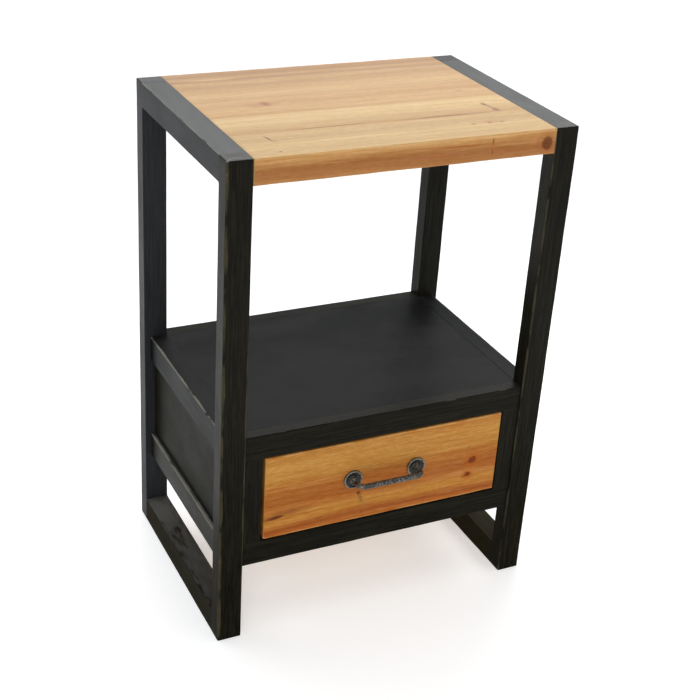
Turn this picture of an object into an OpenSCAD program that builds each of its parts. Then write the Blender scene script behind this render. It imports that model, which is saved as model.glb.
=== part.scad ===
// Side table: two post-and-rail side frames, a boarded top, and a box with a drawer under an open shelf.
// +X is the table's right as seen from the front, +Y is its back, +Z is up, and the floor is z = 0.

/* [Overall] */
// Width over the two side frames
width = 500; // [400:5:700]
// Depth over the posts, without the handle
depth = 350; // [285:5:500]
// Height of the top surface above the floor
height = 720; // [560:5:900]

/* [Side frames] */
// Width of a post, across the front of the table
post_w = 35; // [30:0.5:50]
// Depth of a post, from front to back
post_t = 26; // [18:0.5:34]
// Height of the floor rails
floor_rail_h = 38; // [26:1:50]

/* [Top boards] */
// Thickness of the boards, and height of the top rails beside them
board_t = 35; // [24:1:45]
// Shares of the depth that the boards fill, from the back to the front
board_shares = [50, 83, 65, 66, 43, 43];

/* [Drawer box] */
// Height of the shelf surface above the floor
shelf_z = 328; // [290:1:420]
// Height of the whole box, from its lower rails to the shelf surface
box_h = 208; // [180:1:260]
// Set-back of the box behind the front of the posts
front_recess = 3; // [1:0.5:5]
// Set-back of the box behind the back of the posts
back_recess = 5; // [1:0.5:6]
// Thickness of the front and back frames
frame_t = 18; // [16:0.5:22]
// Height of the front and back rails
face_rail_h = 36; // [28:1:42]
// Width of the front stiles
stile_w = 26.5; // [20:0.5:40]
// Thickness of the side rails
side_rail_t = 26; // [20:0.5:30]
// Height of the side rails
side_rail_h = 39; // [33:1:48]
// Thickness of the side panels
side_panel_t = 9; // [6:0.5:11]
// Set-back of a side panel behind its rails
side_panel_inset = 6; // [3:0.5:8]
// Thickness of the back panel
back_panel_t = 6; // [4:0.5:8]
// Depth of the grooves that hold the panels
groove_depth = 5; // [3:0.5:6]
// Thickness of the shelf panel
shelf_t = 15; // [12:0.5:18]

/* [Drawer] */
// Gap around the drawer front
front_gap = 2.5; // [1.5:0.25:4]
// Thickness of the drawer front
drawer_front_t = 18; // [16:0.5:22]
// Gap from the drawer sides to the opening
side_gap = 3; // [2.5:0.25:6]
// Thickness of the drawer sides and back
drawer_side_t = 12; // [10:0.5:15]
// Height of the drawer sides
drawer_side_h = 120; // [80:1:124]
// Thickness of the drawer bottom
drawer_bottom_t = 6; // [4:0.5:8]
// Height of the drawer bottom above the lower edge of the sides
drawer_bottom_rise = 8; // [6:0.5:12]
// Depth of the grooves that hold the drawer bottom
drawer_groove = 5; // [3:0.5:6]
// Space between the back of the closed drawer and the back frame
rear_space = 25; // [12:1:60]
// Width of the catch that keeps the drawer in
catch_w = 40; // [24:1:80]
// Thickness of the catch
catch_t = 8; // [6:0.5:10]

/* [Runners] */
// Thickness of the runners under the drawer sides
runner_t = 18; // [14:0.5:22]
// Height of the guides beside the drawer sides
guide_h = 20; // [18:1:40]
// Gap between a guide and the drawer side
guide_gap = 1; // [0.5:0.1:2]
// Gap between the drawer side and the kicker above it
kicker_gap = 2; // [1:0.5:5]

/* [Handle] */
// Distance between the two legs of the handle
handle_span = 100; // [70:1:160]
// Diameter of the handle bar
bar_d = 8; // [6.5:0.1:10]
// Distance from the drawer face to the centre of the bar
handle_reach = 24; // [20:0.5:32]
// Bend radius at the centre of the bar
bend_r = 10; // [7:0.5:11]
// Height of the handle above the middle of the drawer front
handle_rise = 4; // [0:0.5:20]
// Diameter of a rosette
rosette_d = 29; // [24:0.5:36]

/* [Fastenings] */
// Diameter of the dowels in the side frames and the top
dowel_d = 8; // [6:0.2:10]
// Length of the dowels in the side frames
dowel_len = 36; // [30:1:40]
// Diameter of the dowels in the box and the drawer
pin_d = 6; // [4.5:0.1:7.5]
// Diameter of the wood screws in the box
screw_d = 4.5; // [3.5:0.1:5.5]
// Length of the wood screws in the box
screw_len = 60; // [50:1:62]
// Diameter of the small wood screws in the drawer
small_screw_d = 3; // [2.5:0.1:3.8]
// Diameter of the machine screws in the handle
handle_screw_d = 4; // [3:0.1:5]

/* [Clearances] */
// Radial clearance of a dowel or a screw in its hole
hole_play = 0.05; // [0.02:0.01:0.1]
// Clearance on each face of a panel in its groove
groove_play = 0.1; // [0.05:0.05:0.2]
// Clearance between the drawer and what it slides on or stops against
slide_play = 0.3; // [0.3:0.05:0.5]

/* [Hidden] */
$fn = 48;

// Across the table
post_out = width / 2;
post_in = post_out - post_w;
side_rail_out = post_in + side_rail_t;
panel_x = [side_rail_out - side_panel_inset - side_panel_t, side_rail_out - side_panel_inset];
opening_x = post_in - stile_w;
drawer_front_x = opening_x - front_gap;
drawer_out = opening_x - side_gap;
drawer_in = drawer_out - drawer_side_t;
guide_x = [drawer_out + guide_gap, post_in];

// From front to back; the handle stands out in front of the posts, and y = 0 halves the whole depth
front_reach = handle_reach + bar_d / 2 - front_recess;
front_y = (front_reach - depth) / 2;
back_y = front_y + depth;
rail_y = [front_y + post_t, back_y - post_t];
face_y = [front_y + front_recess, front_y + front_recess + frame_t];
rear_y = [back_y - back_recess - frame_t, back_y - back_recess];
inside_y = [face_y[1], rear_y[0]];
drawer_face = face_y[0];
drawer_box_y = [drawer_face + drawer_front_t, inside_y[1] - rear_space];
drawer_back_y = [drawer_box_y[1] - drawer_side_t, drawer_box_y[1]];
catch_y = [drawer_back_y[0] - catch_t, drawer_back_y[0]];
rear_mid = (rear_y[0] + rear_y[1]) / 2;
face_mid = (face_y[0] + face_y[1]) / 2;
drawer_back_mid = (drawer_back_y[0] + drawer_back_y[1]) / 2;
drawer_side_mid = (drawer_in + drawer_out) / 2;

// Up the table
box_z = shelf_z - box_h;
top_rail_z = [height - board_t, height];
upper_side_z = [shelf_z - side_rail_h, shelf_z];
lower_side_z = [box_z, box_z + side_rail_h];
upper_face_z = [shelf_z - face_rail_h, shelf_z];
lower_face_z = [box_z, box_z + face_rail_h];
drawer_front_z = [lower_face_z[1] + front_gap, upper_face_z[0] - front_gap];
drawer_side_z = [drawer_front_z[0], drawer_front_z[0] + drawer_side_h];
drawer_bottom_z = [drawer_side_z[0] + drawer_bottom_rise, drawer_side_z[0] + drawer_bottom_rise + drawer_bottom_t];
drawer_back_z = [drawer_bottom_z[1], drawer_side_z[1]];
runner_top = drawer_side_z[0] - slide_play;
runner_z = [runner_top - runner_t, runner_top];
guide_z = [runner_top, runner_top + guide_h];
kicker_z = [drawer_side_z[1] + kicker_gap, shelf_z - shelf_t];
shelf_z_range = [shelf_z - shelf_t, shelf_z];

// The catch stands up behind the front rail, clear of the shelf
catch_foot = 28;
catch_head_gap = 5;
catch_z = [drawer_side_z[1] - catch_foot, shelf_z_range[0] - catch_head_gap];

// Dowels: how far they reach into the piece that they start from, and where they stand
dowel_into_post = 13;
dowel_pitch = 16;
frame_dowel_edge = 10;
side_dowel_edge = 8;
board_dowel_edge = 12;
board_dowel_len = 36;
board_dowel_into_rail = 14;
edge_dowel_len = 24;
edge_dowel_inset = 60;
pin_into_post = 10;
pin_len = 24;
pin_pitch = 14;
stile_pin_edge = 7;
shelf_pin_into_rail = 10;
shelf_pin_inset = 96;
drawer_pin_first = 25;
drawer_pin_pitch = 35;
drawer_pin_len = 22;
side_pin_into_side = 7;
pin_steps = [-1, 0, 1];

// Screws: heads, lengths and places
head_ratio = 2;
head_slope = 0.5;
screw_end_inset = 36;
guide_screw_len = 32;
bottom_screw_len = 24;
bottom_screw_inset = 54;
catch_screw_len = 17;
catch_screw_pitch = 12;
catch_screw_low = 8;
handle_thread = 10;
pan_head_ratio = 1.9;
pan_head_h = 2.4;

// Handle
handle_z = (drawer_front_z[0] + drawer_front_z[1]) / 2 + handle_rise;
bar_y = drawer_face - handle_reach;
bend_y = bar_y + bend_r;
leg_x = handle_span / 2;
rosette_play = 0.1;
rosette_plate = 1.4;
rosette_rim = 2.2;
rosette_boss_h = 5.5;
rosette_boss_wall = 2.2;

// Board widths fill the depth from the back to the front
share_sum = share_total(len(board_shares));
function share_total(count) = count == 0 ? 0 : board_shares[count - 1] + share_total(count - 1);
function board_y(index) = [
  back_y - depth * share_total(index) / share_sum,
  back_y - depth * share_total(index - 1) / share_sum
];
function middle(span) = (span[0] + span[1]) / 2;

// ---- shapes that repeat ----

// A box given by its low and high limits along each axis
module block(x, y, z) {
  translate([x[0], y[0], z[0]])
    cube([x[1] - x[0], y[1] - y[0], z[1] - z[0]]);
}

// Its children on the right of the table, or mirrored to the left of it
module on_side(side) {
  if (side < 0) mirror([1, 0, 0]) children();
  else children();
}

// A round rod of diameter d that starts at p and runs along a direction
module rod(p, direction, d, length) {
  translate(p)
    rotate(turn_to(direction))
      cylinder(d = d, h = length);
}
function turn_to(direction) =
  direction == "+x" ? [0, 90, 0] :
  direction == "-x" ? [0, -90, 0] :
  direction == "+y" ? [-90, 0, 0] :
  direction == "-y" ? [90, 0, 0] :
  direction == "-z" ? [180, 0, 0] : [0, 0, 0];

// A countersunk wood screw whose flat head lies at p, pointing along a direction
module wood_screw(p, direction, d, length, play = 0) {
  head_r = d * head_ratio / 2 + play;
  shank_r = d / 2 + play;
  translate(p)
    rotate(turn_to(direction))
      rotate_extrude()
        polygon([
          [0, 0], [head_r, 0], [head_r, head_slope / 2], [shank_r, head_slope / 2 + head_r - shank_r],
          [shank_r, length - shank_r], [0, length]
        ]);
}

// ---- fastenings: each set is drawn once as solids and once, with play, as its holes ----

// Rails of the side frames into their posts
module frame_dowel_set(play = 0) {
  for (z_mid = [middle(top_rail_z), floor_rail_h / 2], step = [-0.5, 0.5]) {
    z = z_mid + step * dowel_pitch;
    x = post_out - frame_dowel_edge;
    rod([x, rail_y[0] - dowel_into_post, z], "+y", dowel_d + 2 * play, dowel_len);
    rod([x, rail_y[1] + dowel_into_post, z], "-y", dowel_d + 2 * play, dowel_len);
  }
}

// Side rails of the box into the posts
module side_rail_dowel_set(play = 0) {
  for (z_mid = [middle(upper_side_z), middle(lower_side_z)], step = [-0.5, 0.5]) {
    z = z_mid + step * dowel_pitch;
    x = side_rail_out - side_dowel_edge;
    rod([x, rail_y[0] - dowel_into_post, z], "+y", dowel_d + 2 * play, dowel_len);
    rod([x, rail_y[1] + dowel_into_post, z], "-y", dowel_d + 2 * play, dowel_len);
  }
}

// Front or back rails of the box into the posts
module face_rail_dowel_set(y, play = 0) {
  for (z_mid = [middle(upper_face_z), middle(lower_face_z)], step = [-0.5, 0.5])
    rod([post_in + pin_into_post, y, z_mid + step * pin_pitch], "-x", pin_d + 2 * play, pin_len);
}

// Stiles into the front rails
module stile_dowel_set(play = 0) {
  x = opening_x + stile_pin_edge;
  rod([x, face_mid, lower_face_z[1] - pin_len / 2], "+z", pin_d + 2 * play, pin_len);
  rod([x, face_mid, upper_face_z[0] - pin_len / 2], "+z", pin_d + 2 * play, pin_len);
}

// Ends of the top boards into the top rails and the posts
module board_end_dowel_set(play = 0) {
  for (index = [1 : len(board_shares)]) {
    span = board_y(index);
    for (y = [span[0] + board_dowel_edge, span[1] - board_dowel_edge])
      rod([post_in + board_dowel_into_rail, y, middle(top_rail_z)], "-x", dowel_d + 2 * play, board_dowel_len);
  }
}

// Top boards edge to edge
module board_edge_dowel_set(play = 0) {
  for (index = [1 : len(board_shares) - 1], x_step = pin_steps) {
    x = x_step * (post_in - edge_dowel_inset);
    rod([x, board_y(index)[0] - edge_dowel_len / 2, middle(top_rail_z)], "+y", dowel_d + 2 * play, edge_dowel_len);
  }
}

// Shelf panel into the front and back rails
module shelf_dowel_set(play = 0) {
  for (x_step = pin_steps) {
    x = x_step * (post_in - shelf_pin_inset);
    rod([x, inside_y[0] - shelf_pin_into_rail, middle(shelf_z_range)], "+y", pin_d + 2 * play, pin_len);
    rod([x, inside_y[1] + shelf_pin_into_rail, middle(shelf_z_range)], "-y", pin_d + 2 * play, pin_len);
  }
}

// Drawer sides into the drawer front and the drawer back
module drawer_dowel_set(play = 0) {
  for (index = [0 : 2]) {
    z = drawer_side_z[0] + drawer_pin_first + index * drawer_pin_pitch;
    front_pin = [drawer_side_mid, drawer_box_y[0] - drawer_pin_len / 2, z];
    rod(front_pin, "+y", pin_d + 2 * play, drawer_pin_len);
    rod([drawer_in + side_pin_into_side, drawer_back_mid, z], "-x", pin_d + 2 * play, drawer_pin_len);
  }
}

// Places along the box for its long screws
function long_screw_y() = [inside_y[0] + screw_end_inset, middle(inside_y), inside_y[1] - screw_end_inset];

// Runners onto the lower side rails
module runner_screw_set(play = 0) {
  for (y = long_screw_y())
    wood_screw([drawer_in, y, middle(runner_z)], "+x", screw_d, screw_len, play);
}

// Kickers onto the upper side rails
module kicker_screw_set(play = 0) {
  for (y = long_screw_y())
    wood_screw([drawer_in, y, (kicker_z[0] + shelf_z_range[0]) / 2], "+x", screw_d, screw_len, play);
}

// Guides onto the runners
module guide_screw_set(play = 0) {
  for (y = [inside_y[0] + screw_end_inset * 2, inside_y[1] - screw_end_inset * 2])
    wood_screw([middle(guide_x), y, guide_z[1]], "-z", small_screw_d, guide_screw_len, play);
}

// Drawer bottom onto the lower edge of the drawer back
module bottom_screw_set(play = 0) {
  for (x_step = pin_steps) {
    x = x_step * (drawer_in - bottom_screw_inset);
    wood_screw([x, drawer_back_mid, drawer_bottom_z[0]], "+z", small_screw_d, bottom_screw_len, play);
  }
}

// Catch onto the drawer back
module catch_screw_set(play = 0) {
  for (index = [0 : 1]) {
    z = catch_z[0] + catch_screw_low + index * catch_screw_pitch;
    wood_screw([0, catch_y[0], z], "+y", small_screw_d, catch_screw_len, play);
  }
}

// Machine screws through the drawer front into the legs of the handle
module handle_screw_set(play = 0) {
  for (x = [-leg_x, leg_x])
    rod([x, drawer_face - handle_thread, handle_z], "+y", handle_screw_d + 2 * play, handle_thread + drawer_front_t);
}

// ---- side frames ----

module groove_cuts() {
  side_panel_shape(groove_play);
  back_panel_shape(groove_play);
}

module front_post(side) {
  color([0.11, 0.11, 0.10]) on_side(side) difference() {
    block([post_in, post_out], [front_y, rail_y[0]], [0, height]);
    frame_dowel_set(hole_play);
    side_rail_dowel_set(hole_play);
    face_rail_dowel_set(face_mid, hole_play);
    board_end_dowel_set(hole_play);
    groove_cuts();
  }
}

module rear_post(side) {
  color([0.11, 0.11, 0.10]) on_side(side) difference() {
    block([post_in, post_out], [rail_y[1], back_y], [0, height]);
    frame_dowel_set(hole_play);
    side_rail_dowel_set(hole_play);
    face_rail_dowel_set(rear_mid, hole_play);
    board_end_dowel_set(hole_play);
    groove_cuts();
  }
}

module frame_rail(side, z) {
  color([0.14, 0.14, 0.14]) on_side(side) difference() {
    block([post_in, post_out], rail_y, z);
    frame_dowel_set(hole_play);
    board_end_dowel_set(hole_play);
  }
}

module left_front_post() { front_post(-1); }
module right_front_post() { front_post(1); }
module left_rear_post() { rear_post(-1); }
module right_rear_post() { rear_post(1); }
module left_top_rail() { frame_rail(-1, top_rail_z); }
module right_top_rail() { frame_rail(1, top_rail_z); }
module left_floor_rail() { frame_rail(-1, [0, floor_rail_h]); }
module right_floor_rail() { frame_rail(1, [0, floor_rail_h]); }

// ---- top boards, numbered from the back ----

module top_board(index) {
  color([0.84, 0.70, 0.52]) difference() {
    block([-post_in, post_in], board_y(index), top_rail_z);
    for (side = [-1, 1]) on_side(side) board_end_dowel_set(hole_play);
    board_edge_dowel_set(hole_play);
  }
}

module top_board_1() { top_board(1); }
module top_board_2() { top_board(2); }
module top_board_3() { top_board(3); }
module top_board_4() { top_board(4); }
module top_board_5() { top_board(5); }
module top_board_6() { top_board(6); }

// ---- the box: side rails, panels, front and back frames, shelf ----

// A side panel, with play added to its two faces
module side_panel_shape(play = 0) {
  block(
    [panel_x[0] - play, panel_x[1] + play],
    [rail_y[0] - groove_depth, rail_y[1] + groove_depth],
    [lower_side_z[1] - groove_depth, upper_side_z[0] + groove_depth]
  );
}

// The back panel, with play added to its two faces
module back_panel_shape(play = 0) {
  block(
    [-post_in - groove_depth, post_in + groove_depth],
    [rear_mid - back_panel_t / 2 - play, rear_mid + back_panel_t / 2 + play],
    [lower_face_z[1] - groove_depth, upper_face_z[0] + groove_depth]
  );
}

module side_rail(side, z) {
  color([0.16, 0.16, 0.16]) on_side(side) difference() {
    block([post_in, side_rail_out], rail_y, z);
    side_rail_dowel_set(hole_play);
    side_panel_shape(groove_play);
    runner_screw_set(hole_play);
    kicker_screw_set(hole_play);
  }
}

module side_panel(side) {
  color([0.18, 0.18, 0.18]) on_side(side) side_panel_shape();
}

module front_rail(z) {
  color([0.11, 0.11, 0.10]) difference() {
    block([-post_in, post_in], face_y, z);
    for (side = [-1, 1]) on_side(side) {
      face_rail_dowel_set(face_mid, hole_play);
      stile_dowel_set(hole_play);
    }
    shelf_dowel_set(hole_play);
  }
}

module front_stile(side) {
  color([0.11, 0.11, 0.10]) on_side(side) difference() {
    block([opening_x, post_in], face_y, [lower_face_z[1], upper_face_z[0]]);
    stile_dowel_set(hole_play);
  }
}

module back_rail(z) {
  color([0.12, 0.12, 0.12]) difference() {
    block([-post_in, post_in], rear_y, z);
    for (side = [-1, 1]) on_side(side) face_rail_dowel_set(rear_mid, hole_play);
    back_panel_shape(groove_play);
    shelf_dowel_set(hole_play);
  }
}

module left_upper_side_rail() { side_rail(-1, upper_side_z); }
module right_upper_side_rail() { side_rail(1, upper_side_z); }
module left_lower_side_rail() { side_rail(-1, lower_side_z); }
module right_lower_side_rail() { side_rail(1, lower_side_z); }
module left_side_panel() { side_panel(-1); }
module right_side_panel() { side_panel(1); }
module front_upper_rail() { front_rail(upper_face_z); }
module front_lower_rail() { front_rail(lower_face_z); }
module front_left_stile() { front_stile(-1); }
module front_right_stile() { front_stile(1); }
module back_upper_rail() { back_rail(upper_face_z); }
module back_lower_rail() { back_rail(lower_face_z); }
module back_panel() { color([0.15, 0.15, 0.15]) back_panel_shape(); }

module shelf_panel() {
  color([0.20, 0.20, 0.21]) difference() {
    block([-post_in, post_in], inside_y, shelf_z_range);
    shelf_dowel_set(hole_play);
  }
}

// ---- runners, guides, kickers and stops inside the box ----

module runner(side) {
  color([0.76, 0.60, 0.40]) on_side(side) difference() {
    block([drawer_in, post_in], inside_y, runner_z);
    runner_screw_set(hole_play);
    guide_screw_set(hole_play);
  }
}

module guide(side) {
  color([0.76, 0.60, 0.40]) on_side(side) difference() {
    block(guide_x, inside_y, guide_z);
    guide_screw_set(hole_play);
  }
}

module kicker(side) {
  color([0.76, 0.60, 0.40]) on_side(side) difference() {
    block([drawer_in, post_in], inside_y, kicker_z);
    kicker_screw_set(hole_play);
  }
}

// A block on the runner, behind the closed drawer
module drawer_stop(side) {
  color([0.70, 0.54, 0.35]) on_side(side)
    block([drawer_in, guide_x[0]], [drawer_box_y[1] + slide_play, inside_y[1]], guide_z);
}

module left_runner() { runner(-1); }
module right_runner() { runner(1); }
module left_guide() { guide(-1); }
module right_guide() { guide(1); }
module left_kicker() { kicker(-1); }
module right_kicker() { kicker(1); }
module left_drawer_stop() { drawer_stop(-1); }
module right_drawer_stop() { drawer_stop(1); }

// ---- drawer ----

// The drawer bottom, with play added to its two faces
module drawer_bottom_shape(play = 0) {
  block(
    [-drawer_in - drawer_groove, drawer_in + drawer_groove],
    [drawer_box_y[0] - drawer_groove, drawer_box_y[1]],
    [drawer_bottom_z[0] - play, drawer_bottom_z[1] + play]
  );
}

module drawer_front() {
  color([0.70, 0.47, 0.24]) difference() {
    block([-drawer_front_x, drawer_front_x], [drawer_face, drawer_box_y[0]], drawer_front_z);
    drawer_bottom_shape(groove_play);
    for (side = [-1, 1]) on_side(side) drawer_dowel_set(hole_play);
    handle_screw_set(hole_play);
  }
}

module drawer_side(side) {
  color([0.80, 0.66, 0.46]) on_side(side) difference() {
    block([drawer_in, drawer_out], drawer_box_y, drawer_side_z);
    drawer_bottom_shape(groove_play);
    drawer_dowel_set(hole_play);
  }
}

module drawer_back() {
  color([0.80, 0.66, 0.46]) difference() {
    block([-drawer_in, drawer_in], drawer_back_y, drawer_back_z);
    for (side = [-1, 1]) on_side(side) drawer_dowel_set(hole_play);
    bottom_screw_set(hole_play);
    catch_screw_set(hole_play);
  }
}

module drawer_bottom() {
  color([0.84, 0.72, 0.53]) difference() {
    drawer_bottom_shape();
    bottom_screw_set(hole_play);
  }
}

module drawer_catch() {
  color([0.70, 0.54, 0.35]) difference() {
    block([-catch_w / 2, catch_w / 2], catch_y, catch_z);
    catch_screw_set(hole_play);
  }
}

module left_drawer_side() { drawer_side(-1); }
module right_drawer_side() { drawer_side(1); }

// ---- handle ----

// A leg from the drawer face, its bend, and half of the straight bar
module half_handle() {
  translate([leg_x, bend_y, handle_z])
    rotate(turn_to("+y"))
      cylinder(d = bar_d, h = drawer_face - bend_y);
  translate([leg_x - bend_r, bend_y, handle_z])
    rotate([0, 0, -90])
      rotate_extrude(angle = 90)
        translate([bend_r, 0])
          circle(d = bar_d);
  translate([0, bar_y, handle_z])
    rotate(turn_to("+x"))
      cylinder(d = bar_d, h = leg_x - bend_r);
}

module handle_bar() {
  color([0.33, 0.33, 0.33]) difference() {
    union() {
      half_handle();
      on_side(-1) half_handle();
    }
    handle_screw_set(hole_play);
  }
}

// A dished disc with a raised rim and a boss around the leg, its flat back on the drawer face
module rosette(side) {
  bore_r = bar_d / 2 + rosette_play;
  boss_r = bore_r + rosette_boss_wall;
  rim_r = rosette_d / 2;
  color([0.30, 0.30, 0.30]) on_side(side)
    translate([leg_x, drawer_face, handle_z])
      rotate(turn_to("-y"))
        rotate_extrude()
          polygon([
            [bore_r, 0], [rim_r, 0], [rim_r, rosette_rim], [rim_r - rosette_rim / 2, rosette_rim * 1.3],
            [rim_r - rosette_rim, rosette_rim], [boss_r + rosette_rim, rosette_plate],
            [boss_r, rosette_rim], [boss_r - rosette_boss_wall / 2, rosette_boss_h], [bore_r, rosette_boss_h]
          ]);
}

module left_rosette() { rosette(-1); }
module right_rosette() { rosette(1); }

// ---- the fastenings as solids ----

module both_sides() {
  children();
  on_side(-1) children();
}

module frame_dowels() { color("burlywood") both_sides() frame_dowel_set(); }
module side_rail_dowels() { color("burlywood") both_sides() side_rail_dowel_set(); }
module front_rail_dowels() { color("burlywood") both_sides() face_rail_dowel_set(face_mid); }
module back_rail_dowels() { color("burlywood") both_sides() face_rail_dowel_set(rear_mid); }
module stile_dowels() { color("burlywood") both_sides() stile_dowel_set(); }
module board_end_dowels() { color("burlywood") both_sides() board_end_dowel_set(); }
module board_edge_dowels() { color("burlywood") board_edge_dowel_set(); }
module shelf_dowels() { color("burlywood") shelf_dowel_set(); }
module drawer_dowels() { color("burlywood") both_sides() drawer_dowel_set(); }
module runner_screws() { color("silver") both_sides() runner_screw_set(); }
module kicker_screws() { color("silver") both_sides() kicker_screw_set(); }
module guide_screws() { color("silver") both_sides() guide_screw_set(); }
module bottom_screws() { color("silver") bottom_screw_set(); }
module catch_screws() { color("silver") catch_screw_set(); }

// Each handle screw has a pan head against the inside of the drawer front
module handle_screws() {
  color("silver") {
    handle_screw_set();
    for (x = [-leg_x, leg_x])
      rod([x, drawer_box_y[0], handle_z], "+y", handle_screw_d * pan_head_ratio, pan_head_h);
  }
}

left_front_post();
left_rear_post();
right_front_post();
right_rear_post();
left_top_rail();
right_top_rail();
left_floor_rail();
right_floor_rail();
top_board_1();
top_board_2();
top_board_3();
top_board_4();
top_board_5();
top_board_6();
left_upper_side_rail();
right_upper_side_rail();
left_lower_side_rail();
right_lower_side_rail();
left_side_panel();
right_side_panel();
shelf_panel();
front_upper_rail();
front_lower_rail();
front_left_stile();
front_right_stile();
back_upper_rail();
back_lower_rail();
back_panel();
left_runner();
right_runner();
left_guide();
right_guide();
left_kicker();
right_kicker();
left_drawer_stop();
right_drawer_stop();
drawer_front();
left_drawer_side();
right_drawer_side();
drawer_back();
drawer_bottom();
drawer_catch();
handle_bar();
left_rosette();
right_rosette();
frame_dowels();
side_rail_dowels();
front_rail_dowels();
back_rail_dowels();
stile_dowels();
board_end_dowels();
board_edge_dowels();
shelf_dowels();
drawer_dowels();
runner_screws();
kicker_screws();
guide_screws();
bottom_screws();
catch_screws();
handle_screws();
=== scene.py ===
# Side table with drawer: the looks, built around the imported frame. Metres, +X right, +Y back, +Z up.
import math

import bpy
import numpy as np
from mathutils import Matrix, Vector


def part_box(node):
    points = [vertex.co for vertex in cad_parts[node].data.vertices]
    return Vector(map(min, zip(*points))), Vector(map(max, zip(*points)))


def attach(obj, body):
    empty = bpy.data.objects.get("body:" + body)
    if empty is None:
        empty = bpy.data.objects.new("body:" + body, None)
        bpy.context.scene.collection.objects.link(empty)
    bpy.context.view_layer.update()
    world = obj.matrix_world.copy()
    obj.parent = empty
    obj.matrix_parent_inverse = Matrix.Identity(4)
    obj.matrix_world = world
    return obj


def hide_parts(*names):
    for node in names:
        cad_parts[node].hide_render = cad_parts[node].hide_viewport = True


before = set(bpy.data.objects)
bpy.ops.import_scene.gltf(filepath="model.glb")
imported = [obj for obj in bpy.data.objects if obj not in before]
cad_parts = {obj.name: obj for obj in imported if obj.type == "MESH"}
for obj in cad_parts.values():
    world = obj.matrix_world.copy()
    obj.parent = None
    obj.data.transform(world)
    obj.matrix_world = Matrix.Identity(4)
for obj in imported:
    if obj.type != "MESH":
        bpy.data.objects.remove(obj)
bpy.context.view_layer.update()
print("frame loaded:", len(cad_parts), "nodes")

mm = 0.001
axisNumber = {"x": 0, "y": 1, "z": 2}
sideWay = {"left": (0, -1), "right": (0, 1), "front": (1, -1), "back": (1, 1), "bottom": (2, -1), "top": (2, 1)}


# ---------- camera, light and floor ----------

cameraView = {
    "azimuth": -27.236, "elevation": 27.547, "roll": 3.872,  # degrees
    "place": (-0.8051, -1.5909, 1.2763),
    "lens": 70.13, "sensor": 36.0,
}


def makeCamera(view):
    az, el, roll = (math.radians(view[k]) for k in ("azimuth", "elevation", "roll"))
    back = np.array([math.sin(az) * math.cos(el), -math.cos(az) * math.cos(el), math.sin(el)])
    right = np.array([math.cos(az), math.sin(az), 0.0])
    up = np.cross(back, right)
    tiltRight = math.cos(roll) * right + math.sin(roll) * up
    tiltUp = -math.sin(roll) * right + math.cos(roll) * up
    data = bpy.data.cameras.new("camera")
    data.lens, data.sensor_width = view["lens"], view["sensor"]
    camera = bpy.data.objects.new("camera", data)
    bpy.context.scene.collection.objects.link(camera)
    turn = np.eye(4)
    turn[:3, 0], turn[:3, 1], turn[:3, 2], turn[:3, 3] = tiltRight, tiltUp, back, view["place"]
    camera.matrix_world = Matrix(turn.tolist())
    bpy.context.scene.camera = camera


studio = {
    "skyLight": (0.18, 0.19, 0.205),  # what lights the table; the camera sees plain white
    "floorSize": 40.0, "floorColour": (0.84, 0.84, 0.84), "floorGlow": 0.42,
    "suns": [  # name, direction towards it, apparent size in degrees, strength, colour
        ("ceilingGlow", (0.10, 0.15, 1.0), 80.0, 1.5, (1.0, 1.0, 1.0)),
        ("frontWindow", (-0.35, -1.0, 0.75), 34.0, 0.9, (1.0, 0.99, 0.97)),
    ],
    "softboxes": [  # name, place, aimed at, width, height, watts, colour
        ("backSoftbox", (0.60, 1.00, 1.38), (0.45, 0.0, 1.20), 1.9, 0.8, 18.5, (1.0, 1.0, 1.0)),
        ("leftSoftbox", (-1.30, 1.00, 0.95), (-0.2, 0.0, 0.5), 0.9, 0.8, 4.0, (0.86, 0.93, 1.0)),
    ],
}


def aimedMatrix(place, target):
    # third column points from the target to the lamp, the first lies level, the second is their cross product
    back = np.array(place, float) - np.array(target, float)
    back /= np.linalg.norm(back)
    right = np.cross([0.0, 0.0, 1.0], back)
    right /= np.linalg.norm(right)
    turn = np.eye(4)
    turn[:3, 0], turn[:3, 1], turn[:3, 2], turn[:3, 3] = right, np.cross(back, right), back, place
    return Matrix(turn.tolist())


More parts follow.
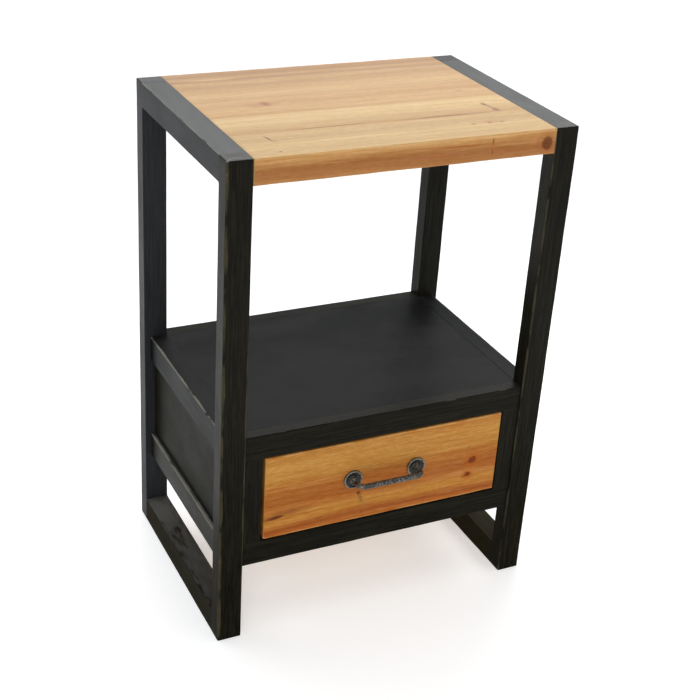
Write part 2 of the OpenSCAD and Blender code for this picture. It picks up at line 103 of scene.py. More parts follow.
def makeStudio(look):
    scene = bpy.context.scene
    scene.view_settings.view_transform = "Standard"
    world = bpy.data.worlds.new("studio")
    world.use_nodes = True
    tree = world.node_tree
    lit = tree.nodes["Background"]
    lit.inputs["Color"].default_value = (*look["skyLight"], 1.0)
    seen = tree.nodes.new("ShaderNodeBackground")
    seen.inputs["Color"].default_value = (1.0, 1.0, 1.0, 1.0)
    which = tree.nodes.new("ShaderNodeMixShader")
    tree.links.new(tree.nodes.new("ShaderNodeLightPath").outputs["Is Camera Ray"], which.inputs[0])
    tree.links.new(lit.outputs[0], which.inputs[1])
    tree.links.new(seen.outputs[0], which.inputs[2])
    tree.links.new(which.outputs[0], tree.nodes["World Output"].inputs["Surface"])
    scene.world = world
    for name, towards, spread, strength, colour in look["suns"]:
        data = bpy.data.lights.new(name, "SUN")
        data.angle, data.energy, data.color = math.radians(spread), strength, colour
        sun = bpy.data.objects.new(name, data)
        scene.collection.objects.link(sun)
        sun.matrix_world = aimedMatrix(towards, (0.0, 0.0, 0.0))
    for name, place, target, width, height, watts, colour in look["softboxes"]:
        data = bpy.data.lights.new(name, "AREA")
        data.shape, data.size, data.size_y = "RECTANGLE", width, height
        data.energy, data.color = watts, colour
        lamp = bpy.data.objects.new(name, data)
        scene.collection.objects.link(lamp)
        lamp.matrix_world = aimedMatrix(place, target)
        lamp.visible_camera = False
    half = look["floorSize"] / 2
    mesh = bpy.data.meshes.new("floor")
    corners = [(-half, -half, 0.0), (half, -half, 0.0), (half, half, 0.0), (-half, half, 0.0)]
    mesh.from_pydata(corners, [], [(0, 1, 2, 3)])
    floor = bpy.data.objects.new("floor", mesh)
    scene.collection.objects.link(floor)
    paint = bpy.data.materials.new("floorPaper")
    paint.use_nodes = True
    shader = paint.node_tree.nodes["Principled BSDF"]
    shader.inputs["Base Color"].default_value = (*look["floorColour"], 1.0)
    shader.inputs["Roughness"].default_value = 0.9
    shader.inputs["Specular IOR Level"].default_value = 0.1
    shader.inputs["Emission Color"].default_value = (1.0, 1.0, 1.0, 1.0)
    shader.inputs["Emission Strength"].default_value = look["floorGlow"]
    mesh.materials.append(paint)


makeCamera(cameraView)
makeStudio(studio)
print("camera, lamps and floor are in place")


# ---------- small helpers for materials ----------

def newMaterial(name):
    material = bpy.data.materials.new(name)
    material.use_nodes = True
    return material, material.node_tree, material.node_tree.nodes["Principled BSDF"]


def addNode(tree, kind, settings=None, inputs=None):
    made = tree.nodes.new(kind)
    for key, value in (settings or {}).items():
        setattr(made, key, value)
    for key, value in (inputs or {}).items():
        if isinstance(value, bpy.types.NodeSocket):
            tree.links.new(value, made.inputs[key])
        else:
            made.inputs[key].default_value = value
    return made


def calc(tree, operation, a, b=0.0, c=0.0, clamp=False):
    made = addNode(tree, "ShaderNodeMath", {"operation": operation, "use_clamp": clamp}, {0: a, 1: b})
    if operation == "MULTIPLY_ADD":
        if isinstance(c, bpy.types.NodeSocket):
            tree.links.new(c, made.inputs[2])
        else:
            made.inputs[2].default_value = c
    return made.outputs[0]


def centred(tree, value):
    return calc(tree, "ADD", value, -0.5)


def product(tree, a, b):
    return calc(tree, "MULTIPLY", a, b)


def scaleAdd(tree, value, factor, extra):
    # value times factor, plus extra
    return calc(tree, "MULTIPLY_ADD", value, factor, extra)


def vectorCalc(tree, operation, a, b):
    made = addNode(tree, "ShaderNodeVectorMath", {"operation": operation}, {0: a, 1: b})
    return made.outputs["Value"] if operation in ("LENGTH", "DOT_PRODUCT") else made.outputs["Vector"]


def step(tree, value, low, high, toLow=0.0, toHigh=1.0):
    # smooth step from toLow to toHigh as value goes from low to high
    return addNode(tree, "ShaderNodeMapRange", {"interpolation_type": "SMOOTHSTEP"}, {
        "Value": value, "From Min": low, "From Max": high, "To Min": toLow, "To Max": toHigh}).outputs["Result"]


def between(tree, value, low, high):
    # how far value is from low to high, as a share
    return addNode(tree, "ShaderNodeMapRange", None, {
        "Value": value, "From Min": low, "From Max": high}).outputs["Result"]


def objectPlace(tree):
    return addNode(tree, "ShaderNodeTexCoord").outputs["Object"]


def attribute(tree, name, output="Fac"):
    return addNode(tree, "ShaderNodeAttribute", {"attribute_name": name}).outputs[output]


def part(tree, vector, letter):
    return addNode(tree, "ShaderNodeSeparateXYZ", None, {0: vector}).outputs[letter]


def facing(tree, letter):
    return part(tree, addNode(tree, "ShaderNodeNewGeometry").outputs["Normal"], letter)


def wire(tree, shader, **surface):
    names = {"colour": "Base Color", "rough": "Roughness", "normal": "Normal", "specular": "Specular IOR Level"}
    for key, socket in surface.items():
        tree.links.new(socket, shader.inputs[names[key]])


def mixColour(tree, share, a, b, blend="MIX"):
    # a and b are sockets or (r, g, b); share is how much of b shows
    a = a if isinstance(a, bpy.types.NodeSocket) else (*a, 1.0)
    b = b if isinstance(b, bpy.types.NodeSocket) else (*b, 1.0)
    made = addNode(tree, "ShaderNodeMix", {"data_type": "RGBA", "blend_type": blend, "clamp_factor": True})
    for number, value in ((0, share), (6, a), (7, b)):
        if isinstance(value, bpy.types.NodeSocket):
            tree.links.new(value, made.inputs[number])
        else:
            made.inputs[number].default_value = value
    return made.outputs[2]


def noise(tree, place, scale, stretch=(1.0, 1.0, 1.0), detail=3.0, roughness=0.55, shift=(0.0, 0.0, 0.0)):
    # noise whose grains are stretched by dividing the coordinates along each axis
    mapped = addNode(tree, "ShaderNodeMapping", None, {"Vector": place, "Location": shift, "Scale": stretch})
    return addNode(tree, "ShaderNodeTexNoise", None, {
        "Vector": mapped.outputs[0], "Scale": scale, "Detail": detail, "Roughness": roughness}).outputs["Fac"]


def bumpOf(tree, height, distance, strength=1.0):
    return addNode(tree, "ShaderNodeBump", None, {
        "Height": height, "Distance": distance, "Strength": strength}).outputs["Normal"]


def rgb(red, green, blue):
    # screen colour, 0 to 255, to the linear light that a shader wants
    share = np.array([red, green, blue]) / 255.0
    return tuple(np.where(share <= 0.04045, share / 12.92, ((share + 0.055) / 1.055) ** 2.4).tolist())


# ---------- black paint, rubbed through at the edges, grey on faces and edges that face up from dust and painted sheen ---

blackPaint = {
    "paint": rgb(12, 11, 8), "paintThin": rgb(36, 34, 24),
    "undercoat": rgb(66, 61, 45), "bareWood": rgb(110, 98, 70), "rubbedTopAndSheen": rgb(124, 123, 115),
    "dustAndSheen": rgb(96, 97, 96), "dustAndSheenShare": (0.02, 0.07), "scuffs": 0.0,
    "chipped": 0.55, "patchy": 0.45,  # how much fine and broad noise breaks up the worn borders
    "rubbedFrom": (0.30, 0.66), "bareFrom": (0.82, 1.15),  # wear at which undercoat and then wood show
    "gloss": (0.31, 0.44), "specular": 0.057, "sheenHeights": (0.03, 0.45), "sheenLow": 0.35,
}


def makeBlackPaint(name, look):
    # wear is 1 on a rubbed edge and falls away from it; two noises added to it break up the border
    material, tree, shader = newMaterial(name)
    place = attribute(tree, "grainPlace", "Vector")
    brush = noise(tree, place, 1.0, (14.0, 520.0, 520.0), 4.0, 0.6)
    pores = noise(tree, place, 1.0, (60.0, 2300.0, 2300.0), 3.0, 0.6)
    cloud = noise(tree, place, 1.0, (9.0, 18.0, 18.0), 4.0, 0.6)
    chips = noise(tree, place, 1.0, (130.0, 420.0, 420.0), 5.0, 0.7)
    ragged = scaleAdd(tree, centred(tree, chips), look["chipped"], attribute(tree, "wear"))
    ragged = scaleAdd(tree, centred(tree, cloud), look["patchy"], ragged)
    rubbed = step(tree, ragged, *look["rubbedFrom"])
    up = facing(tree, "Z")
    flat = step(tree, up, 0.7, 0.98)
    upward = step(tree, up, 0.08, 0.55)
    # flat faces that look up turn grey: dust together with a painted sheen standing in for light reflected from
    # the tops
    dustyAndSheen = product(tree, flat, step(tree, cloud, 0.35, 0.70, *look["dustAndSheenShare"]))
    streaks = scaleAdd(tree, step(tree, pores, 0.40, 0.66), 0.45, step(tree, brush, 0.35, 0.7, 0.0, 0.75))
    colour = mixColour(tree, streaks, look["paint"], look["paintThin"])
    colour = mixColour(tree, dustyAndSheen, colour, look["dustAndSheen"])
    if look["scuffs"]:  # dull smears where the dust and the painted sheen have been knocked off
        smear = noise(tree, place, 1.0, (13.0, 60.0, 60.0), 5.0, 0.68, (3.0, 1.0, 2.0))
        knocked = product(tree, product(tree, flat, look["scuffs"]), step(tree, smear, 0.50, 0.66))
        colour = mixColour(tree, knocked, colour, look["paint"])
    # rubbed edges that face up turn pale grey: worn paint together with a painted highlight for the light they
    # catch from above
    below = mixColour(tree, upward, look["undercoat"], look["rubbedTopAndSheen"])
    colour = mixColour(tree, product(tree, rubbed, 0.9), colour, below)
    wood = mixColour(tree, upward, look["bareWood"], look["rubbedTopAndSheen"])
    colour = mixColour(tree, step(tree, ragged, *look["bareFrom"]), colour, wood)
    gloss = step(tree, calc(tree, "ADD", brush, cloud), 0.7, 1.3, *look["gloss"])
    # the sheen fades towards the floor, where the paint has been scrubbed dull
    sheen = step(tree, part(tree, objectPlace(tree), "Z"), *look["sheenHeights"],
                 look["specular"] * look["sheenLow"], look["specular"])
    relief = scaleAdd(tree, rubbed, -0.5, scaleAdd(tree, pores, 0.35, brush))
    wire(tree, shader, colour=colour, rough=calc(tree, "MULTIPLY_ADD", rubbed, 0.2, gloss, clamp=True),
         specular=sheen, normal=bumpOf(tree, relief, 0.00026, 0.8))
    return material


# ---------- pine ----------

def seen(stops, light=1.0):
    # band list (position, screen colour) to (position, linear colour), divided by how strongly the face is lit
    return [(spot, underLight(rgb(*colour), light)) for spot, colour in stops]


def underLight(colour, light):
    return tuple((np.array(colour) / light).tolist())


def bandRamp(tree, value, stops):
    made = addNode(tree, "ShaderNodeValToRGB", None, {0: value})
    made.color_ramp.interpolation = "EASE"
    parts = made.color_ramp.elements
    while len(parts) < len(stops):
        parts.new(0.5)
    for part, (spot, colour) in zip(parts, sorted(stops)):
        part.position, part.color = spot, (*colour, 1.0)
    return made.outputs["Color"]


def ellipse(tree, place, centre, size, turn=0.0):
    # distance from the centre, counted in the ellipse's own radii: the length of the turned and scaled offset
    turned = addNode(tree, "ShaderNodeMapping", {"vector_type": "TEXTURE"}, {
        "Vector": place, "Location": centre, "Rotation": turn if isinstance(turn, tuple) else (0.0, 0.0, turn),
        "Scale": size})
    return vectorCalc(tree, "LENGTH", turned.outputs[0], (0.0, 0.0, 0.0))


pineGrain = {  # noise grains per metre along and across the wood, detail, roughness
    "slow": (2.6, 15.0, 2.0, 0.5), "broad": (2.2, 44.0, 3.0, 0.55), "streak": (8.0, 240.0, 3.0, 0.6),
    "fibre": (26.0, 900.0, 4.0, 0.65), "fleck": (75.0, 1900.0, 2.0, 0.6), "grit": (85.0, 520.0, 3.0, 0.7),
    "cloud": (11.0, 30.0, 3.0, 0.6),
}
pineBase = {  # what a look may change
    "bandWarp": 0.016, "streakDepth": 0.30, "shine": 0.14, "fibreDepth": 0.26, "gritDepth": 0.30,
    "gloss": (0.44, 0.60), "specular": 0.14,
    "ringDrift": 0.034, "ringFlutter": 0.0022, "knotSwell": 0.007, "ringSharpness": 3.0,
    "frontWarp": 0.030, "flutter": 0.006,  # metres by which the bands stray
}
shakeReach = np.array([0.007, 0.004, 0.005])  # metres by which noise moves stains and knots
pineTurns = {"x": (0.0, 0.0, 0.0), "y": (0.0, 0.0, -math.pi / 2), "z": (0.0, math.pi / 2, 0.0)}


def makePine(name, look, grain="x", bands=None, marks=(), knots=(), frontBands=None):
    # bands: (axis, low, high, stops) colours the wood across its width; marks are soft stains:
    # (centre, size, turn, colour, strength, softness); knots: (centre, size, turn, halo colour, core colour)
    look = {**pineBase, **look}
    material, tree, shader = newMaterial(name)

    def stain(share, colour):
        return mixColour(tree, share, colour, look["lineTint"], "MULTIPLY")

    place = objectPlace(tree)
    along = addNode(tree, "ShaderNodeMapping", None, {"Vector": place, "Rotation": pineTurns[grain]}).outputs[0]
    shift = (look["seed"] * 1.7, look["seed"] * 0.9, look["seed"] * 2.3)
    slow, broad, streak, fibre, fleck, grit, cloud = (
        noise(tree, along, 1.0, (lengthwise, across, across), detail, rough, shift)
        for lengthwise, across, detail, rough in pineGrain.values())
    wobble = noise(tree, along, 90.0, (0.6, 1.0, 1.0), 3.0, 0.6, shift)
    # stains and knots sit on coordinates shaken by the noise, so their outlines are never clean ellipses
    shaken = addNode(tree, "ShaderNodeVectorMath", {"operation": "MULTIPLY_ADD"}, {
        0: addNode(tree, "ShaderNodeCombineXYZ", None, {0: wobble, 1: slow, 2: wobble}).outputs[0],
        1: shakeReach.tolist(), 2: place}).outputs["Vector"]
    shaken = vectorCalc(tree, "ADD", shaken, (-shakeReach / 2).tolist())
    distances = [ellipse(tree, shaken, centre, size, turn) for centre, size, turn, _, _ in knots]
    # growth rings: distance from a tilted pith line, pushed aside by slow noise and bulging round each knot
    parts = addNode(tree, "ShaderNodeSeparateXYZ", None, {0: along})
    across = scaleAdd(tree, parts.outputs["X"], look["tilt"], parts.outputs["Y"])
    across = scaleAdd(tree, centred(tree, slow), look["ringDrift"], calc(tree, "ADD", across, -look["pith"][0]))
    down = calc(tree, "ADD", parts.outputs["Z"], -look["pith"][1])
    squares = calc(tree, "ADD", calc(tree, "POWER", across, 2.0), calc(tree, "POWER", down, 2.0))
    radius = calc(tree, "SQRT", squares)
    for far in distances:
        fade = scaleAdd(tree, calc(tree, "POWER", far, 2.0), 0.35, 1.0)
        swell = calc(tree, "DIVIDE", look["knotSwell"], fade)
        radius = calc(tree, "ADD", radius, swell)
    radius = scaleAdd(tree, streak, look["ringFlutter"], radius)
    wave = calc(tree, "SINE", product(tree, radius, 2.0 * math.pi / look["spacing"]))
    lines = calc(tree, "POWER", scaleAdd(tree, wave, 0.5, 0.5), look["ringSharpness"])
    lines = product(tree, lines, step(tree, scaleAdd(tree, cloud, 0.5, broad), 0.52, 0.98))
    if bands is None:
        dark, middle, light = look["tones"]
        colour = mixColour(tree, step(tree, broad, 0.32, 0.5), dark, middle)
        colour = mixColour(tree, step(tree, broad, 0.48, 0.7), colour, light)
    else:
        letter, low, high, stops = bands
        spread = scaleAdd(tree, centred(tree, slow), look["bandWarp"], part(tree, place, letter.upper()))
        spread = scaleAdd(tree, centred(tree, streak), look["flutter"], spread)
        colour = bandRamp(tree, between(tree, spread, low, high), stops)
    if frontBands is not None:  # the face towards the front is a different cut of the wood
        low, high, stops = frontBands
        rise = scaleAdd(tree, centred(tree, slow), look["frontWarp"], part(tree, place, "Z"))
        rise = scaleAdd(tree, centred(tree, streak), 2 * look["flutter"], rise)
        colour = mixColour(tree, step(tree, facing(tree, "Y"), -0.45, -0.85), colour,
                           bandRamp(tree, between(tree, rise, low, high), stops))
    colour = mixColour(tree, product(tree, step(tree, cloud, 0.45, 0.72), look["blush"]),
                       colour, look["blushTint"], "MULTIPLY")
    colour = stain(product(tree, lines, look["lineDepth"]), colour)
    colour = stain(step(tree, streak, 0.30, 0.72, look["streakDepth"], 0.0), colour)
    colour = mixColour(tree, step(tree, streak, 0.50, 0.80, 0.0, look["shine"]),
                       colour, (1.0, 0.92, 0.78), "SCREEN")
    colour = stain(step(tree, fibre, 0.32, 0.68, look["fibreDepth"], 0.0), colour)
    colour = stain(step(tree, grit, 0.36, 0.66, look["gritDepth"], 0.0), colour)
    for centre, size, turn, tint, strength, soft in marks:
        share = step(tree, ellipse(tree, shaken, centre, size, turn), 1.0, 1.0 - soft)
        share = product(tree, share, step(tree, fibre, 0.25, 0.6, 0.72 * strength, strength))
        colour = mixColour(tree, share, colour, tint)
    for far, (_, _, _, halo, core) in zip(distances, knots):
        turnsOf = scaleAdd(tree, calc(tree, "SINE", product(tree, far, 17.0)), 0.16, 0.84)
        share = product(tree, step(tree, far, 2.6, 0.9), 0.55)
        colour = mixColour(tree, product(tree, share, turnsOf), colour, halo)
        share = product(tree, step(tree, far, 1.15, 0.70), step(tree, grit, 0.25, 0.65, 0.72, 1.0))
        colour = mixColour(tree, product(tree, share, turnsOf), colour, core)
    pores = step(tree, fleck, 0.60, 0.72)
    colour = stain(product(tree, pores, 0.30), colour)
    if "easedEdge" in look:  # the eased edges are paler on the drawer front, worn pale wood together with a painted highlight, and browner on the top boards beside the black rails
        wear = scaleAdd(tree, centred(tree, cloud), 0.7, attribute(tree, "wear"))
        eased = step(tree, wear, 0.30, 0.85, 0.0, look["easedShare"])
        colour = mixColour(tree, eased, colour, look["easedEdge"])
    relief = scaleAdd(tree, lines, 0.25, scaleAdd(tree, pores, -0.5, fibre))
    wire(tree, shader, colour=colour, rough=step(tree, fibre, 0.2, 0.8, *look["gloss"]),
         normal=bumpOf(tree, relief, 0.00016, 0.7))
    shader.inputs["Specular IOR Level"].default_value = look["specular"]
    return material


# ---------- bars: every sawn piece of the table ----------

barBase = {  # what a bar's look may change; radii and reach are in millimetres, "every" in metres
    "round": {}, "roundRest": 0.5, "startRound": {}, "finishRound": {}, "endRest": 0.0, "flush": {},
    "worn": {}, "wornRest": 0.0, "endWorn": 0.0, "reach": 1.6, "wander": 0.30, "columns": 8, "every": 0.008,
}
arcPoints = 5  # points on each quarter circle
leastRound, leastEnd = 0.00004, 0.00015  # metres, so that a sharp corner or end still has a face
flushFade = 0.002  # metres over which a rounded edge sharpens where it meets another piece


def sineWander(along, seed, wavelength, count=5):
    # slow wander between about -1 and 1: a sum of sines whose wavelengths halve and whose phases are seeded
    random = np.random.default_rng(seed)
    total = np.zeros_like(along)
    for octave in range(count):
        phase, stretch = random.uniform(0, 2 * np.pi), random.uniform(0.8, 1.25)
        total += np.sin(2 * np.pi * along * stretch * 2 ** octave / wavelength + phase) / 1.7 ** octave
    return total / 1.6


def cornerOrder(axis):
    # the cross axes u and v follow the bar's axis in turn; corners run round from (+u, -v)
    u, v = (axis + 1) % 3, (axis + 2) % 3
    return u, v, [(1, -1), (1, 1), (-1, 1), (-1, -1)]


def perCorner(axis, table, default):
    # {"front left": value} to a value for each of the bar's four long edges
    u, v, signs = cornerOrder(axis)
    values = []
    for su, sv in signs:
        match = [value for words, value in table.items()
                 if {sideWay[word] for word in words.split()} == {(u, su), (v, sv)}]
        values.append(match[0] if match else default)
    return values


def perSide(axis, table, default):
    # {"front": value} to a value for each side, in the order -v, +u, +v, -u
    u, v, _ = cornerOrder(axis)
    order = [(v, -1), (u, 1), (v, 1), (u, -1)]
    return [next((value for word, value in table.items() if sideWay[word] == side), default) for side in order]


def barRings(start, end, roundLow, roundHigh, every, marks):
    # rings from end to end: cap rings, then the end's quarter circle, then one every few millimetres
    turn = np.linspace(0.0, np.pi / 2, arcPoints)
    lowW, lowShare = start + roundLow * (1 - np.cos(turn)), 1 - np.sin(turn)
    highW, highShare = end - roundHigh * (1 - np.cos(turn[::-1])), 1 - np.sin(turn[::-1])
    count = max(2, int(round((end - start - roundLow - roundHigh) / every)))
    middle = np.linspace(start + roundLow, end - roundHigh, count + 1)[1:-1]
    extra = np.array([m for m in marks if start + roundLow + 0.0005 < m < end - roundHigh - 0.0005])
    middle = np.unique(np.round(np.concatenate([middle, extra]), 6))
    caps = np.array([0.004, 0.0012])
    w = np.concatenate([[start] * 2, lowW, middle, highW, [end] * 2])
    shareLow = np.concatenate([[1, 1], lowShare, np.zeros(len(middle) + arcPoints + 2)])
    shareHigh = np.concatenate([np.zeros(2 + arcPoints + len(middle)), highShare, [1, 1]])
    cap = np.concatenate([caps, np.zeros(2 * arcPoints + len(middle)), caps[::-1]])
    return w, shareLow, shareHigh, cap


def makeBar(name, low, high, axis, look, seed=0):
    # a rectangle with quarter-circle corners, carried along one axis; corner point = centre + r (cos t,
    # sin t), where r wavers along the bar by a sum of sines; wear falls off as exp(-distance / reach)
    look = {**barBase, **look}
    axis = axisNumber[axis]
    u, v, _ = cornerOrder(axis)
    low, high = np.array(low, float), np.array(high, float)
    radii = np.array(perCorner(axis, look["round"], look["roundRest"])) * mm
    endLow = np.array(perSide(axis, look["startRound"], look["endRest"])) * mm
    endHigh = np.array(perSide(axis, look["finishRound"], look["endRest"])) * mm
    flush = perCorner(axis, look["flush"], [])
    beside = (-0.0025, -0.0004, 0.0004, 0.0025)
    marks = [m + d for zones in flush for zone in zones for m in zone for d in beside]
    w, shareLow, shareHigh, cap = barRings(
        low[axis], high[axis], max(endLow.max(), leastEnd), max(endHigh.max(), leastEnd), look["every"], marks)
    rings = len(w)
    inset = shareLow[:, None] * endLow + shareHigh[:, None] * endHigh + cap[:, None]
    u0, u1 = low[u] + inset[:, 3], high[u] - inset[:, 1]
    v0, v1 = low[v] + inset[:, 0], high[v] - inset[:, 2]
    r = np.zeros((rings, 4))
    for corner in range(4):
        r[:, corner] = radii[corner] * (1 + look["wander"] * sineWander(w, seed * 7 + corner, 0.16))
        for zoneLow, zoneHigh in flush[corner]:
            away = np.maximum(zoneLow - w, w - zoneHigh)
            r[:, corner] *= np.clip(away / flushFade, 0.06, 1.0)
    r = np.clip(r, leastRound, 0.45 * min(high[u] - low[u], high[v] - low[v]))
    t = np.linspace(0, 1, look["columns"])
    share = (1 - np.cos(np.pi * t)) / 2
    share = np.sort(np.concatenate([share, [0.012, 0.988]]))
    arc = np.linspace(0, 1, arcPoints)[1:-1] * np.pi / 2
    starts = [(u0 + r[:, 3], v0), (u1, v0 + r[:, 0]), (u1 - r[:, 1], v1), (u0, v1 - r[:, 2])]
    stops = [(u1 - r[:, 0], v0), (u1, v1 - r[:, 1]), (u0 + r[:, 2], v1), (u0, v0 + r[:, 3])]
    centres = [(u1 - r[:, 0], v0 + r[:, 0]), (u1 - r[:, 1], v1 - r[:, 1]),
               (u0 + r[:, 2], v1 - r[:, 2]), (u0 + r[:, 3], v0 + r[:, 3])]
    worn = perCorner(axis, look["worn"], (look["wornRest"], []))
    strength = np.zeros((rings, 4))
    for corner, (base, patches) in enumerate(worn):
        strength[:, corner] = base * (1 + 0.5 * sineWander(w, seed * 11 + corner, 0.09))
        for centre, spread, amount in patches:
            strength[:, corner] += amount * np.exp(-((w - centre) / spread) ** 2)
    reach = look["reach"] * mm
    colsU, colsV, colsWear = [], [], []
    for side in range(4):
        (su, sv), (eu, ev) = starts[side], stops[side]
        colsU.append(su[:, None] + (eu - su)[:, None] * share)
        colsV.append(sv[:, None] + (ev - sv)[:, None] * share)
        length = np.hypot(eu - su, ev - sv)[:, None]
        before, after = strength[:, (side + 3) % 4, None], strength[:, side, None]
        colsWear.append(np.maximum(before * np.exp(-share * length / reach),
                                   after * np.exp(-(1 - share) * length / reach)))
        angle = -np.pi / 2 + side * np.pi / 2 + arc
        cu, cv = centres[side]
        colsU.append(cu[:, None] + r[:, side, None] * np.cos(angle))
        colsV.append(cv[:, None] + r[:, side, None] * np.sin(angle))
        colsWear.append(np.repeat(after, len(arc), axis=1))
    points = np.zeros((rings, 4 * (len(share) + len(arc)), 3))
    points[:, :, axis] = w[:, None]
    points[:, :, u] = np.concatenate(colsU, axis=1)
    points[:, :, v] = np.concatenate(colsV, axis=1)
    wear = np.concatenate(colsWear, axis=1)
    nearEnd = np.minimum(w - low[axis], high[axis] - w) + cap
    wear = np.maximum(wear, look["endWorn"] * np.exp(-nearEnd / reach)[:, None])
    shift = np.array([seed * 3.17, seed * 0.61, seed * 0.37])
    grainPlace = np.stack([points[:, :, axis], points[:, :, u], points[:, :, v]], axis=2) + shift
    return addPiece(name, points, wear, grainPlace)


def addPiece(name, points, wear=None, grainPlace=None, caps=True):
    # rings of points become quads; the two end rings become flat caps
    rings, columns = points.shape[:2]
    numbers = np.arange(rings * columns).reshape(rings, columns)
    across = np.roll(numbers, -1, axis=1)
    quads = np.stack([numbers[:-1], across[:-1], across[1:], numbers[1:]], axis=-1).reshape(-1, 4)
    faces = quads.tolist()
    if caps:
        faces += [numbers[0, ::-1].tolist(), numbers[-1].tolist()]
    mesh = bpy.data.meshes.new(name)
    mesh.from_pydata(points.reshape(-1, 3).tolist(), [], faces)
    mesh.polygons.foreach_set("use_smooth", np.ones(len(faces), bool))
    if wear is not None:
        mesh.attributes.new("wear", "FLOAT", "POINT").data.foreach_set("value", wear.ravel().astype(np.float32))
    if grainPlace is not None:
        store = mesh.attributes.new("grainPlace", "FLOAT_VECTOR", "POINT")
        store.data.foreach_set("vector", grainPlace.reshape(-1).astype(np.float32))
    mesh.update()
    piece = bpy.data.objects.new(name, mesh)
    bpy.context.scene.collection.objects.link(piece)
    return piece


def dress(piece, material, body, slotName, *nodes):
    piece.data.materials.append(material)
    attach(piece, body)
    if nodes:
        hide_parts(*nodes)


def barFromNode(node, axis, look, material, slotName, seed, body="carcass", grow=None):
    low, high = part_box(node)
    low, high = np.array(low), np.array(high)
    if grow is not None:
        low, high = low + np.array(grow[0]) * mm, high + np.array(grow[1]) * mm
    piece = makeBar(node + "_wood", low, high, axis, look, seed)
    dress(piece, material, body, slotName, node)
    return piece


scrubbed = {"paint": rgb(26, 23, 13), "paintThin": rgb(42, 38, 24), "gloss": (0.45, 0.60), "specular": 0.018}
paintChanges = {  # what each painted part changes in the plain black paint
    # Top: a larger grey share on the front posts, dust together with a painted sheen from the light above
    "": {}, "Top": {"dustAndSheenShare": (0.16, 0.26), "sheenLow": 0.12},
    # Rail: a lighter, bluish copy of the paint, painted light standing in for the cool light from behind on the
    # top rails
    "Rail": {"paint": rgb(26, 28, 30), "paintThin": rgb(45, 46, 46), "dustAndSheenShare": (0.14, 0.22)},
    # Ledge: a large grey share on the lower side rails, a painted highlight along the ledges together with dust
    "LedgeHighlight": {"dustAndSheenShare": (0.30, 0.50), "specular": 0.08}, "Panel": {"specular": 0.026},
    # Shelf: a cooler copy with little grey share, painted shade under the tabletop on the shelf and upper side
    # rails
    "Shelf": {"paint": rgb(14, 15, 16), "paintThin": rgb(22, 23, 22), "dustAndSheenShare": (0.01, 0.10),
              "specular": 0.047},
    # Rear: a lighter, bluish copy of the paint, painted light standing in for the cool light on the left rear
    # post
    "Rear": {"paint": rgb(38, 40, 44), "paintThin": rgb(50, 51, 53), "dustAndSheenShare": (0.16, 0.26)},
    # RearRight: a lighter, warmer copy of the paint, painted light on the right rear post
    "RearRight": {"paint": rgb(20, 20, 17), "paintThin": rgb(40, 39, 33), "dustAndSheenShare": (0.16, 0.26),
                  "specular": 0.04},
    "Floor": {**scrubbed, "dustAndSheenShare": (0.36, 0.80), "scuffs": 1.0},
    "FloorRight": {**scrubbed, "dustAndSheenShare": (0.30, 0.50), "dustAndSheen": rgb(84, 82, 72)},
}
paints = {name: makeBlackPaint("blackPaint" + name, {**blackPaint, **change})
          for name, change in paintChanges.items()}
otherSide = {"left": "right", "right": "left"}


def paintBars(bars, side="left", extraSeed=0):
    # bars: (node, axis, paint, seed, look), where the words outer and inner stand for left and right
    swap = {"outer": side, "inner": otherSide[side]}
    for node, axis, paintName, seed, look in bars:
        shape = dict(look)
        for key, table in look.items():
            if isinstance(table, dict):
                shape[key] = {" ".join(swap.get(word, word) for word in edge.split()): value
                              for edge, value in table.items()}
        barFromNode(node, axis, shape, paints[paintName], "painted_wood", seed + extraSeed)


# ---------- posts ----------

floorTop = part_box("left_floor_rail")[1].z
railTop, topZ = (corner.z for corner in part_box("left_top_rail"))
joints = [(-0.01, floorTop), (railTop, topZ + 0.01)]  # heights at which the posts meet the rails, rounding off
posts = {
    "outerRound": 1.5, "frontRound": 1.3, "backRound": 1.1, "innerRound": 1.2,
    "topRound": 1.3, "footRound": 1.2, "railSideRound": 0.4, "handledRound": 2.4,
    "wear": {  # long edge of each post: (all along it, [(height, spread, amount)])
        "left_front_post": {
            "front left": (0.52, [(0.415, 0.020, 0.12), (0.385, 0.03, 0.10), (0.17, 0.05, 0.08),
                                  (0.06, 0.06, 0.12), (0.705, 0.03, 0.20)]),
            "front right": (0.40, [(0.44, 0.012, 0.45), (0.395, 0.022, 0.4), (0.345, 0.02, 0.3),
                                   (0.27, 0.05, 0.25), (0.18, 0.06, 0.30)]),
            "back left": (0.22, [(0.20, 0.06, 0.3)]),
        },
        "right_front_post": {
            "front left": (0.50, [(0.55, 0.10, 0.12), (0.38, 0.05, 0.12)]),
            "front right": (0.30, [(0.30, 0.10, 0.2)]),
        },
        "left_rear_post": {"back left": (0.22, [(0.10, 0.08, 0.35)]), "front left": (0.25, [])},
        "right_rear_post": {"back right": (0.25, [(0.5, 0.1, 0.3)]), "back left": (0.2, [])},
    },
    "paint": {"left_rear_post": "Rear", "right_rear_post": "RearRight"},
}


def makePosts(look):
    for number, node in enumerate(look["wear"]):
        side, end = node.split("_")[:2]
        face, rear = ("front", "back") if end == "front" else ("back", "front")
        outerRound = look["handledRound"] if node == "left_front_post" else look["outerRound"]
        shape = {
            "round": {f"{face} outer": outerRound, f"{face} inner": look["frontRound"],
                      f"{rear} outer": look["backRound"], f"{rear} inner": look["innerRound"]},
            "flush": {f"{rear} outer": joints, f"{rear} inner": joints},
            "startRound": dict.fromkeys(("outer", face, "inner"), look["footRound"]),
            "finishRound": {"outer": look["topRound"], face: look["topRound"], "inner": look["railSideRound"]},
            "worn": look["wear"][node], "wornRest": 0.12, "endWorn": 0.35,
        }
        paintBars([(node, "z", look["paint"].get(node, "Top"), number + 1, shape)], side)


makePosts(posts)
print("posts made")


